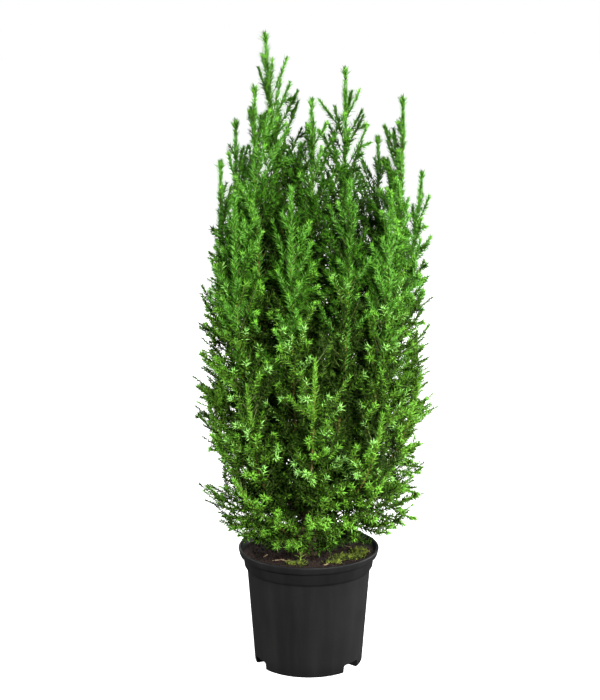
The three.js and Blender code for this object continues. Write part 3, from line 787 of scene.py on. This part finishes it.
HOLLOW_ABOVE = 70 * MM
SHRINKS = (1.1, 0.95, 0.8, 0.66, 0.54, 0.43)
TURN_TRIES = 4
UPTURN = 0.8
PLUME = {
    "spacing": 3.9, "thinning": 1.4, "bare_tip": 34, "length": (66, 34),
    "angle": (60, 30), "branched": (0.6, 0.88), "roll": (-0.7, 0.7),
    "spurs": True, "shy": 0.75, "lift": (0.1, 0.35),
}
SIDE = {
    "spacing": 5.3, "thinning": 0, "bare_tip": 8, "length": (84, 46),
    "angle": (64, 42), "branched": (0.9, 1.3), "roll": (-0.3, 0.8),
    "spurs": True, "shy": 0.5, "lift": (0.0, 0.4),
}
SKIRT = {
    "spacing": 5.2, "thinning": 0, "bare_tip": 8, "length": (76, 46),
    "angle": (66, 50), "branched": (0.9, 1.3), "roll": (-0.3, 0.8),
    "spurs": False, "shy": 0.2, "lift": (0.0, 0.3),
}
THINS_FROM = 0.6
STEM_STEPS = 20
FIRST_BRANCHLET = 0.01
BRANCHLET_POINTS = 6
TESTED_FROM = 3
ANGLE_VARIES = 7
BRANCHLET_VARIES = (0.7, 1.2)
SPACING_VARIES = (0.75, 1.25)
SHOOT_SPACING = 9 * MM
SHOOT_HALF_WIDTH = 0.4
SHOOT_SHORTEST = 13 * MM
SHOOT_ANGLE = (54, 38)
SHOOTS_FROM = 0.22
SHOOTS_SPAN = 0.72
SHOOT_STAGGER = (0.2, 0.8)
SHOOT_TAPER = (1.15, 0.75)
SHOOT_VARIES = (0.75, 1.2)
SHOOT_LIFT = 0.1
SHOOT_POINTS = 3
SPUR_SPACING = 6 * MM
SPUR_LENGTH = (16 * MM, 32 * MM)
SPUR_ANGLE = (24, 46)
SPUR_ROLL = (0.6, 1.7)
SPURS_UP_TO = 0.72
FRINGE_FROM = 0.72
FRINGE_POINTS = (3, 4)
FRINGE_SIDEWAYS = 0.75
FRINGE_REACH = (0.96, 1.1)
FRINGE_LENGTH = (16 * MM, 30 * MM)
FRINGE_RISE = (0.3, 0.75)
FRINGE_ASIDE = 0.35
FRINGE_UP_TO = 400 * MM
LEAFY_FROM = {"trunk": 0.16, "bough": 0.08, "side": 0.12, "skirt": 0.08}


# Notes a mass: its node, its stem's line, where its bough ends and its foliage begins, its habit and its seed
def add_mass(node, line, start, leafy_from, habit, seed):
    masses.append({
        "node": node, "line": line, "start": start, "leafy_from": LEAFY_FROM[leafy_from],
        "habit": habit, "seed": seed,
    })


masses = []
add_mass("plume_top", main_line, TRUNK_SHARE, "trunk", PLUME, 1)
for i, (name, line) in enumerate(leader_lines.items()):
    add_mass(f"plume_{name}", line, BOUGH_SHARE, "bough", PLUME, 11 + i)
for i, (name, line) in enumerate(side_lines.items()):
    add_mass(f"side_{name}", line, SIDE_SHARE, "side", SIDE, 41 + i)
for i in range(SKIRTS):
    azimuth = i * 2 * math.pi / SKIRTS - math.pi / 2
    out = np.array([math.cos(azimuth), math.sin(azimuth), 0])
    line = Line(
        trunk_at(SKIRT_LEAVES + SKIRT_LEAVES_STEP * (i % 3)),
        out * SKIRT_BEND[0] + (0, 0, SOIL_TOP + SKIRT_BEND[1]),
        out * SKIRT_REACH + (0, 0, SOIL_TOP + SKIRT_TIP_HEIGHT + SKIRT_TIP_STEP * (i % 2)),
    )
    add_mass(f"skirt_{i + 1}", line, SKIRT_START, "skirt", SKIRT, 61 + i)

stem_points = np.stack([
    mass["line"].at(np.linspace(mass["leafy_from"], 1, STEM_STEPS + 1)) for mass in masses
])
stem_from = stem_points[:, :-1].reshape(-1, 3)
stem_step = np.diff(stem_points, axis=1).reshape(-1, 3)


# How far points are from each mass's stem
def stem_distances(points):
    offset = points[:, None] - stem_from[None]
    share = np.einsum("pij,ij->pi", offset, stem_step) / np.einsum("ij,ij->i", stem_step, stem_step)
    offset -= np.clip(share, 0, 1)[..., None] * stem_step[None]
    apart = np.sqrt(np.einsum("pij,pij->pi", offset, offset))
    return apart.reshape(len(points), len(masses), STEM_STEPS).min(2)


# The crown's radius at a height, widest at the belly
def crown_radius(height):
    away = height - SOIL_TOP - BELLY_HEIGHT
    below = DRAWN_IN_BELOW * (away / BELLY_HEIGHT) ** 2
    above = DRAWN_IN_ABOVE * (away / ABOVE_SPAN) ** 2
    return CROWN_RADIUS - np.where(away < 0, below, above)


# How far out points are, as a share of the crown's radius at their height
def outness(points):
    return np.hypot(points[:, 0] - CROWN_MIDDLE_X, points[:, 1]) / crown_radius(points[:, 2])


# Whether points lie above the soil and the rim
def clear_of_soil(points):
    reach = np.hypot(points[:, 0], points[:, 1])
    over_soil = LOWEST_FOLIAGE + UNDERSIDE_SLOPE * np.maximum(0, reach - UNDERSIDE_FROM)
    underside = np.minimum(over_soil, UNDERSIDE_HEIGHT) + RISES_BY * np.maximum(0, reach - RISES_FROM)
    return points[:, 2] > SOIL_TOP + underside


# Whether points lie in one of the dark hollows between sprays, which are taller than wide
def in_hollow(points):
    scaled = points / (HOLLOW_WIDTH, HOLLOW_WIDTH, HOLLOW_HEIGHT)
    depth = np.array([noise.noise(Vector(point)) for point in scaled])
    high = points[:, 2] > SOIL_TOP + HOLLOW_ABOVE
    return (depth > HOLLOW_FROM) & (outness(points) > HOLLOW_OUTSIDE) & high


# Whether points lie in a mass's own space: near its stem, where neighbours mingle, inside the ragged crown or
# in the spire round a plume's tip, and clear of soil and rim
def in_space(index, points, ragged):
    apart = stem_distances(points)
    own = apart[:, index]
    others = np.delete(apart, index, axis=1).min(1)
    tip = masses[index]["line"].points[-1]
    below = tip[2] - points[:, 2]
    in_spire = np.hypot(points[:, 0] - tip[0], points[:, 1] - tip[1]) < SPIRE_RADIUS + SPIRE_FLARE * below
    in_spire &= below < SPIRE_HEIGHT
    furthest = math.hypot(tip[0] - CROWN_MIDDLE_X, tip[1]) + SPIRE_OUT
    in_spire &= np.hypot(points[:, 0] - CROWN_MIDDLE_X, points[:, 1]) < furthest
    plume = masses[index]["habit"] is PLUME
    in_crown = ((outness(points) < ragged) & ~in_hollow(points)) | (in_spire & plume)
    below_top = below > SPIRE_BELOW_TOP if plume else np.full(len(points), True)
    return (own < others + MINGLE) & in_crown & below_top & clear_of_soil(points)


# A direction at an angle to another, turned round it by an azimuth
def branching(along, angle, azimuth):
    across, other = square_to(along)
    around = across * math.cos(azimuth) + other * math.sin(azimuth)
    return along * math.cos(angle) + around * math.sin(angle)


# The level way out from the middle of the crown to a point
def outwards(point):
    return np.array([point[0] - CROWN_MIDDLE_X, point[1], 0])


# A shoot's line: it leaves straight and its tip turns up
def shoot_line(start, direction, length, lift, steps):
    t = np.linspace(0, 1, steps)[:, None]
    return start + direction * length * t + np.array([0, 0, lift * length]) * t**2


# Places on a line of points and the directions there, by share of its length
def places_on(axis, share):
    place = np.asarray(share * (len(axis) - 1))
    low = np.minimum(place.astype(int), len(axis) - 2)
    step = axis[low + 1] - axis[low]
    return axis[low] + step * (place - low)[..., None], unit(step)


# A mass's branchlets, closer together low on its stem than towards its tip
def grow_branchlets(index):
    mass = masses[index]
    habit, line, leafy_from = mass["habit"], mass["line"], mass["leafy_from"]
    random = np.random.default_rng(mass["seed"])
    leafy_length = (1 - leafy_from) * line.length
    turn = random.random() * 2 * math.pi
    t = FIRST_BRANCHLET
    grown = []
    while t < 1 - habit["bare_tip"] * MM / leafy_length:
        share = leafy_from + (1 - leafy_from) * t
        start, along = line.at(share), line.along(share)
        angle = math.radians(between(habit["angle"], t) + random.normal() * ANGLE_VARIES)
        full = between(habit["length"], t) * MM * random.uniform(*BRANCHLET_VARIES)
        lift = random.uniform(*habit["lift"])
        ragged = random.uniform(*RAGGED)
        out = outwards(start)
        out /= np.linalg.norm(out) + 1e-9
        for shrink, tries in product(SHRINKS, range(TURN_TRIES)):
            azimuth = turn + GOLDEN_ANGLE * tries
            direction = branching(along, angle, azimuth)
            length = full * shrink * (1 - habit["shy"] * max(0, direction @ out) * abs(out[1]))
            axis = shoot_line(start, direction, length, lift, BRANCHLET_POINTS)
            if in_space(index, axis[TESTED_FROM:], ragged).all():
                grown.append({"axis": axis, "mass": index, "t": t, "length": length, "ragged": ragged})
                break
        turn = azimuth + GOLDEN_ANGLE
        thinned = max(0, t - THINS_FROM) / (1 - THINS_FROM)
        spacing = habit["spacing"] * MM * (1 + habit["thinning"] * thinned)
        t += spacing * random.uniform(*SPACING_VARIES) / leafy_length
    return grown, random


# The finer shoots of one branchlet, by turns to either side of it, rolled towards the outside of the crown
def grow_shoots(branchlet, random):
    axis, length, index = branchlet["axis"], branchlet["length"], branchlet["mass"]
    habit = masses[index]["habit"]
    full, none = habit["branched"]
    branched = min(1.0, max(0.0, (none - branchlet["t"]) / (none - full)))
    count = int(SHOOTS_SPAN * length / SHOOT_SPACING * branched)
    grown = []
    for i in range(count):
        t = SHOOTS_FROM + SHOOTS_SPAN * (i + random.uniform(*SHOOT_STAGGER)) / count
        start, along = places_on(axis, t)
        facing = outwards(start)
        facing = facing / (np.linalg.norm(facing) + 1e-9) + (0, 0, UPTURN)
        across = unit(np.cross(along, facing))
        normal = np.cross(across, along)
        roll = random.uniform(*habit["roll"])
        side = across * (1 if i % 2 else -1) * math.cos(roll) + normal * math.sin(roll)
        angle = math.radians(between(SHOOT_ANGLE, t))
        direction = along * math.cos(angle) + side * math.sin(angle)
        reach = length * SHOOT_HALF_WIDTH * (SHOOT_TAPER[0] - SHOOT_TAPER[1] * t)
        reach = max(reach * random.uniform(*SHOOT_VARIES), SHOOT_SHORTEST)
        shoot = shoot_line(start, direction, reach, SHOOT_LIFT, SHOOT_POINTS)
        grown.append({"axis": shoot, "mass": index, "t": branchlet["t"], "length": reach})
    tips = np.array([shoot["axis"][-1] for shoot in grown]) if grown else np.zeros((0, 3))
    fits = in_space(index, tips, branchlet["ragged"]) if grown else []
    return [shoot for shoot, fit in zip(grown, fits) if fit]


# Short spurs on the outer side of a stem, which point out and up
def grow_spurs(index, random):
    mass = masses[index]
    line, leafy_from = mass["line"], mass["leafy_from"]
    count = int(SPURS_UP_TO * (1 - leafy_from) * line.length / SPUR_SPACING)
    grown = []
    for i in range(count):
        t = SPURS_UP_TO * (i + random.random()) / count
        share = leafy_from + (1 - leafy_from) * t
        start, along = line.at(share), line.along(share)
        out = outwards(start)
        across = np.cross(along, out)
        across /= np.linalg.norm(across) + 1e-9
        out = np.cross(across, along)
        roll = random.choice((-1, 1)) * random.uniform(*SPUR_ROLL)
        angle = math.radians(random.uniform(*SPUR_ANGLE))
        around = out * math.cos(roll) + across * math.sin(roll)
        direction = along * math.cos(angle) + around * math.sin(angle)
        length = random.uniform(*SPUR_LENGTH)
        axis = shoot_line(start, direction, length, SHOOT_LIFT, SHOOT_POINTS)
        if outness(axis[-1:])[0] < 1 and clear_of_soil(axis[-1:])[0]:
            grown.append({"axis": axis, "mass": index, "t": t, "length": length})
    return grown


# Thin twigs that stand out sideways from a branchlet at the left and right edges of the crown
def grow_fringe(branchlet, random):
    grown = []
    for point in FRINGE_POINTS:
        start = branchlet["axis"][point]
        out = outwards(start)
        sideways = abs(out[0]) / (np.linalg.norm(out) + 1e-9)
        direction = np.array([np.sign(out[0]), random.normal() * FRINGE_ASIDE, random.uniform(*FRINGE_RISE)])
        length = random.uniform(*FRINGE_LENGTH)
        axis = shoot_line(start, unit(direction), length, SHOOT_LIFT, SHOOT_POINTS)
        at_side = sideways > FRINGE_SIDEWAYS and outness(start[None])[0] > FRINGE_FROM
        in_reach = outness(axis[-1:])[0] < random.uniform(*FRINGE_REACH) and clear_of_soil(axis[-1:])[0]
        if at_side and in_reach and axis[-1][2] < SOIL_TOP + FRINGE_UP_TO:
            grown.append({"axis": axis, "mass": branchlet["mass"], "t": branchlet["t"], "length": length})
    return grown


branchlets = []
shoots = []
fringe = []
for index in range(len(masses)):
    grown, random = grow_branchlets(index)
    branchlets += grown
    for branchlet in grown:
        shoots += grow_shoots(branchlet, random)
        fringe += grow_fringe(branchlet, random)
    if masses[index]["habit"]["spurs"]:
        shoots += grow_spurs(index, random)

# Twigs are the stems, branchlets and shoots that carry the needles, sunk at the foot in what carries them.
# Stems are brown and woody low down and fresh green above, and the rest are dull green.
BRANCHLET_RADIUS = (0.85 * MM, 0.4 * MM)
SHOOT_RADIUS = (0.5 * MM, 0.3 * MM)
MIDDLE_RADIUS = 1.4 * MM
STEM_END = 0.985
STEM_POINTS = 40
BROWN_POINTS = 20
WOODY_COLOURS = [(0.35, (0.07, 0.055, 0.012)), (0.65, (0.19, 0.155, 0.03))]
YOUNG_COLOURS = [(0.35, (0.03, 0.055, 0.005)), (0.65, (0.075, 0.11, 0.012))]
FRESH_COLOURS = [(0.35, (0.09, 0.15, 0.012)), (0.65, (0.19, 0.27, 0.03))]

stems = [mass["line"].at(np.linspace(mass["start"], STEM_END, STEM_POINTS)) for mass in masses]
brown_stems = [stem[:BROWN_POINTS] for stem in stems]
green_stems = [stem[BROWN_POINTS - 1:] for stem in stems]
woody = mottled("woody_twig", 0.8, 0.3, 300, 4, WOODY_COLOURS)
young = mottled("green_twig", 0.6, 0.4, 300, 4, YOUNG_COLOURS)
fresh_bark = mottled("fresh_stem", 0.6, 0.3, 300, 4, FRESH_COLOURS)
mass_nodes = [mass["node"] for mass in masses]
for name, parts, material in [
    ("woody_twigs", [rods(brown_stems, STEM_RADIUS, MIDDLE_RADIUS)], woody),
    ("fresh_stems", [rods(green_stems, MIDDLE_RADIUS, TIP_RADIUS)], fresh_bark),
    ("green_twigs", [
        rods([each["axis"] for each in branchlets], *BRANCHLET_RADIUS),
        rods([each["axis"] for each in shoots + fringe], *SHOOT_RADIUS),
    ], young),
]:
    twigs = mesh_of(name, *together(parts), material)
    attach(twigs, "root")
    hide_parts(*mass_nodes)

# Needles clothe every shoot in whorls, soft and awl-shaped. On the plumes they lie forward in brushes that
# end in bright buds, lower down they stand out like stars that end in pale rosettes, and inside the crown
# they are broad. Their tints are lit and shaded copies of one green: sprays inside the crown and at its left
# and right edges are painted darker as shade, older needles are darker, a random share of young needles is
# painted dark as shade, and the whitish light ends of the pale and fresh tints are partly painted sheen.
SPIRE = {"whorl": 4, "spacing": 1.9, "length": 9.8, "width": 2.1, "spread": (52, 28), "young": (0.3, 0.6)}
BRUSH = {"whorl": 4, "spacing": 1.9, "length": 8.6, "width": 1.9, "spread": (54, 30), "young": (0.3, 0.6)}
BUD = {"whorl": 4, "spacing": 1.5, "length": 8.0, "width": 2.0, "spread": (44, 18), "young": (0, 1)}
TUFT = {"whorl": 6, "spacing": 1.8, "length": 12.0, "width": 2.3, "spread": (46, 20), "young": (0.3, 0.6)}
STAR = {"whorl": 3, "spacing": 2.3, "length": 8.8, "width": 1.9, "spread": (60, 38), "young": (0.5, 0.4)}
ROSETTE = {"whorl": 4, "spacing": 1.5, "length": 9.2, "width": 1.8, "spread": (64, 36), "young": (0, 1)}
INNER = {"whorl": 3, "spacing": 3.7, "length": 11.0, "width": 3.2, "spread": (62, 40), "young": (1, 0)}
LEADER = {"whorl": 4, "spacing": 1.8, "length": 11.5, "width": 2.1, "spread": (52, 36), "young": (0.1, 0.55)}
TWIG = {"whorl": 4, "spacing": 2.2, "length": 9.5, "width": 2.0, "spread": (58, 34), "young": (0.3, 0.6)}
FRINGE = {"whorl": 3, "spacing": 2.2, "length": 7.0, "width": 1.6, "spread": (52, 30), "young": (0.5, 0.5)}
BARE = {"branchlet": 0.25, "shoot": 0.08, "fringe": 0.1, "leader": 0.35, "stem": 0.3}
FIRST_WHORL = 0.6
TURN_VARIES = 0.3
SPREAD_VARIES = 9
TIP_SHORTER = 0.25
LENGTH_VARIES = (0.8, 1.15)
WIDTH_VARIES = (0.85, 1.1)
STEM_WHORL_POINTS = 80
FRINGE_FRESH = 0.45
TUFT_LENGTH = 8 * MM
ROSETTE_LENGTH = 3 * MM
TIPWARD = 0.8
STARRY_BELOW = 320 * MM
STARRY_VARIES = 35 * MM
SHOWN_VARIES = 0.1
# How far out a spray must be to escape the near-black deep tint and then the green tint: painted shade inside
# the crown
PAINTED_SHADE_BELOW = {"plume": 0.62, "low": 0.7}
PAINTED_HALF_SHADE_BELOW = {"plume": 0.72, "low": 0.82}
SPIRE_FRESH = 0.5
BRUSH_FRESH = 0.8
PALE_SHARE = 0.35
BRIGHT_SHARE = 0.74
# How far sprays at the left and right edges lean to the darker tints: painted shade on the crown's sides
EDGE_PAINTED_SHADE = 0.35
BUD_SHARE = 0.8
SPIRE_FROM = 0.68
PALE_ABOVE = 95 * MM
EDGE_FROM = 0.78
MOST_TRIANGLES = 190000
# The needle tints are lit and shaded copies of one green. Deep is painted shade, green is both the green of
# older needles and painted half shade, and the whitish light ends of the pale and fresh tints are partly
# painted sheen on young growth
TINTS = {
    "plume": {
        "tip": [(0.13, 0.38, 0.022), (0.22, 0.52, 0.05)],
        "fresh": [(0.08, 0.28, 0.017), (0.16, 0.41, 0.06)],
        "green": [(0.036, 0.135, 0.006), (0.068, 0.215, 0.013)],
        "deep": [(0.012, 0.04, 0.002), (0.026, 0.07, 0.005)],
    },
    "low": {
        "pale": [(0.23, 0.56, 0.08), (0.36, 0.71, 0.19)],
        "fresh": [(0.118, 0.342, 0.019), (0.196, 0.475, 0.048)],
        "green": [(0.055, 0.148, 0.008), (0.10, 0.24, 0.016)],
        "deep": [(0.011, 0.03, 0.002), (0.024, 0.058, 0.004)],
    },
}
BRIGHT_TINTS = {"tip", "pale", "fresh"}
GLOSSY = (0.42, 0.14)
DULL = (0.6, 0.06)
# Each tint's darker tint, for older needles and for a random share of young needles painted as in shade
OLDER_AND_SHADED = {"tip": "green", "fresh": "green", "pale": "green", "green": "deep", "deep": "deep"}


# The needles along one shoot, and which of them are bright: young needles towards the tip, less a random
# share that goes to a darker tint as painted shade
def clothe(axis, length, bare, dress):
    count = max(2, int(length * (1 - bare) / (dress["spacing"] * MM)))
    t = bare + (1 - bare) * ((np.arange(count) + FIRST_WHORL) / count) ** TIPWARD
    feet, along = places_on(axis, t)
    across, other = square_to(along)
    whorl = dress["whorl"]
    feet, along, across, other = (np.repeat(each, whorl, axis=0) for each in (feet, along, across, other))
    number = np.arange(count * whorl)
    turn = 2 * np.pi * (number % whorl) / whorl + np.pi / whorl * (number // whorl)
    turn = turn + random.normal(size=len(number)) * TURN_VARIES
    t = np.repeat(t, whorl)
    spread = between(dress["spread"], t**2) + random.normal(size=len(number)) * SPREAD_VARIES
    spread = np.radians(spread)
    around = across * np.cos(turn)[:, None] + other * np.sin(turn)[:, None]
    directions = along * np.cos(spread)[:, None] + around * np.sin(spread)[:, None]
    lengths = dress["length"] * MM * (1 - TIP_SHORTER * t**3)
    lengths = lengths * random.uniform(*LENGTH_VARIES, len(number))
    widths = dress["width"] * MM * random.uniform(*WIDTH_VARIES, len(number))
    young_from, bright_share = dress["young"]
    # Needles below young_from are older and darker; of the young ones, a random share goes dark as painted
    # shade between lit and shaded needles
    bright = (t > young_from) & (random.random(len(number)) < bright_share)
    return (feet, directions, along, lengths, widths), bright


# The last stretch of a shoot
def tip_of(axis, length):
    return np.stack([axis[-1] - unit(axis[-1] - axis[-2]) * length, axis[-1]])


# Plumes are clothed as brushes down to where the starry needles of the low foliage begin
def kind_of(spray):
    height = spray["axis"][-1][2] - SOIL_TOP + random.normal() * STARRY_VARIES
    return "plume" if masses[spray["mass"]]["habit"] is PLUME and height > STARRY_BELOW else "low"


# Whether a spray grows at the left or right edge of the crown
def at_edge(spray):
    return abs(spray["axis"][-1][0] - CROWN_MIDDLE_X) > EDGE_FROM * CROWN_RADIUS


# The tint of a spray, by how far out and how high on its mass it grows: the further in, the darker, as
# painted shade
def tint_of(spray, kind):
    shown = outness(spray["axis"][-1:])[0] + random.normal() * SHOWN_VARIES
    if kind == "plume":
        shown = max(shown, spray["t"])
    # Sprays deep inside the crown get the near-black deep tint, and those a little further out the green
    # tint: painted shade
    if shown < PAINTED_SHADE_BELOW[kind]:
        return "deep"
    if shown < PAINTED_HALF_SHADE_BELOW[kind]:
        return "green"
    if kind == "plume":
        fresh_share = SPIRE_FRESH if spray["t"] > SPIRE_FROM else BRUSH_FRESH
        return "fresh" if random.random() < fresh_share else "green"
    # Sprays at the left and right edges of the crown lean to the darker green tint: painted shade on the
    # crown's sides
    pick = random.random() + (EDGE_PAINTED_SHADE if at_edge(spray) else 0)
    if pick < PALE_SHARE and spray["axis"][-1][2] > SOIL_TOP + PALE_ABOVE:
        return "pale"
    return "fresh" if pick < BRIGHT_SHARE else "green"


# How a spray is clothed: its kind of whorls, by its tint and by where it grows
def dress_of(spray, kind, tint):
    if tint == "deep":
        return INNER
    if kind == "plume":
        return SPIRE if spray["t"] > SPIRE_FROM else BRUSH
    return BRUSH if at_edge(spray) else STAR


# The needles of each spray go to its kind and tint, and the rest to a darker tint: the older ones, and a
# random share of young ones as painted shade
def deal(kind, tint, arrays, bright):
    for sorted_tint, chosen in ((tint, bright), (OLDER_AND_SHADED[tint], ~bright)):
        dealt[kind, sorted_tint].append([each[chosen] for each in arrays])


random = np.random.default_rng(9)
dealt = {(kind, tint): [] for kind in TINTS for tint in TINTS[kind]}
for sprays, bare in ((branchlets, BARE["branchlet"]), (shoots, BARE["shoot"])):
    for spray in sprays:
        axis, kind = spray["axis"], kind_of(spray)
        tint = tint_of(spray, kind)
        deal(kind, tint, *clothe(axis, spray["length"], bare, dress_of(spray, kind, tint)))
        if tint in ("pale", "fresh") and random.random() < BUD_SHARE:
            end_tint, end_dress = (tint, ROSETTE) if kind == "low" else ("tip", BUD)
            deal(kind, end_tint, *clothe(tip_of(axis, ROSETTE_LENGTH), ROSETTE_LENGTH, 0, end_dress))
for twig in fringe:
    tint = "fresh" if random.random() < FRINGE_FRESH else "green"
    deal(kind_of(twig), tint, *clothe(twig["axis"], twig["length"], BARE["fringe"], FRINGE))
for mass in masses:
    line, start = mass["line"], mass["start"]
    stem = line.at(np.linspace(start, STEM_END, STEM_WHORL_POINTS))
    length = line.length * (STEM_END - start)
    if mass["habit"] is PLUME:
        deal("plume", "fresh", *clothe(stem, length, BARE["leader"], LEADER))
        deal("plume", "fresh", *clothe(tip_of(stem, TUFT_LENGTH), TUFT_LENGTH, 0, TUFT))
    else:
        deal("low", "fresh", *clothe(stem, length, BARE["stem"], TWIG))

for (kind, tint), sprays in dealt.items():
    dark, light = TINTS[kind][tint]
    name = f"{kind}_needles_{tint}"
    finish = GLOSSY if tint in BRIGHT_TINTS else DULL
    material = mottled(name, *finish, 180, 2, [(0.35, dark), (0.65, light)])
    gathered = [np.concatenate(each) for each in zip(*sprays)]
    pieces = math.ceil(4 * len(gathered[0]) / MOST_TRIANGLES)
    for number, chosen in enumerate(np.array_split(np.arange(len(gathered[0])), pieces)):
        corners, triangles = needles(*[each[chosen] for each in gathered])
        foliage = mesh_of(f"{name}_{number + 1}", corners, triangles, material)
        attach(foliage, "root")
        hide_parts(*[node for node in mass_nodes if kind == "low" or node.startswith("plume")])

# The stage is a plain white floor under studio light: a front light, a fill from the right, lights from both
# sides and from behind, and an even white room, which shows at full strength and lights the plant faintly.
FLOOR_RADIUS = 30
FLOOR_DROP = 0.0002
ROOM_LIGHT = 0.11
ROOM_SEEN = 1.0
deselect()
bpy.ops.mesh.primitive_circle_add(
    vertices=96, radius=FLOOR_RADIUS, location=(0, 0, -FLOOR_DROP), fill_type="NGON"
)
floor = bpy.context.object
floor.name = "floor"
white, tree, shader = new_material("white_floor", 0.9, 0.1)
shader.inputs["Base Color"].default_value = (0.8, 0.8, 0.8, 1)
shader.inputs["Emission Color"].default_value = (1, 1, 1, 1)
shader.inputs["Emission Strength"].default_value = 1.0
floor.data.materials.append(white)
floor.visible_diffuse = False
floor.visible_glossy = False


# A round light that faces a target
def area_light(name, location, target, size, power):
    light = bpy.data.lights.new(name, "AREA")
    light.shape = "DISK"
    light.size = size
    light.energy = power
    lamp = bpy.data.objects.new(name, light)
    lamp.location = location
    lamp.rotation_euler = (Vector(target) - Vector(location)).to_track_quat("-Z", "Y").to_euler()
    bpy.context.scene.collection.objects.link(lamp)


area_light("front_light", (0.6, -2.35, 1.35), (0, 0, 0.38), 0.4, 138)
area_light("fill_light", (1.3, -1.3, 0.4), (0, 0, 0.25), 1.2, 26)
area_light("right_light", (2.1, 0.6, 0.5), (0, 0, 0.25), 1.2, 75)
area_light("left_light", (-2.2, -0.1, 0.7), (0, 0, 0.3), 1.0, 55)
area_light("back_light", (-0.3, 2.3, 1.6), (0, 0, 0.4), 1.0, 40)
world = bpy.data.worlds.new("studio")
bpy.context.scene.world = world
world.use_nodes = True
room = world.node_tree.nodes["Background"]
room.inputs["Color"].default_value = (1, 1, 1, 1)
seen = world.node_tree.nodes.new("ShaderNodeLightPath")
strength = world.node_tree.nodes.new("ShaderNodeMapRange")
strength.inputs["To Min"].default_value = ROOM_LIGHT
strength.inputs["To Max"].default_value = ROOM_SEEN
world.node_tree.links.new(seen.outputs["Is Camera Ray"], strength.inputs["Value"])
world.node_tree.links.new(strength.outputs["Result"], room.inputs["Strength"])

# The camera stands before the plant, about level with its top, and looks down on it slightly through a long
# lens, as in the photograph.
CAMERA_DISTANCE = 1.9
CAMERA_HEIGHT = 0.76875
CAMERA_PITCH = 0.1991
CAMERA_YAW = 0.0055
CAMERA_SENSOR = 36
CAMERA_LENS = 84.25
camera = bpy.data.objects.new("camera", bpy.data.cameras.new("camera"))
camera.data.sensor_width = CAMERA_SENSOR
camera.data.lens = CAMERA_LENS
camera.location = (0, -CAMERA_DISTANCE, CAMERA_HEIGHT)
camera.rotation_euler = (math.pi / 2 - CAMERA_PITCH, 0, CAMERA_YAW)
bpy.context.scene.collection.objects.link(camera)
bpy.context.scene.camera = camera
bpy.context.scene.view_settings.view_transform = "Standard"
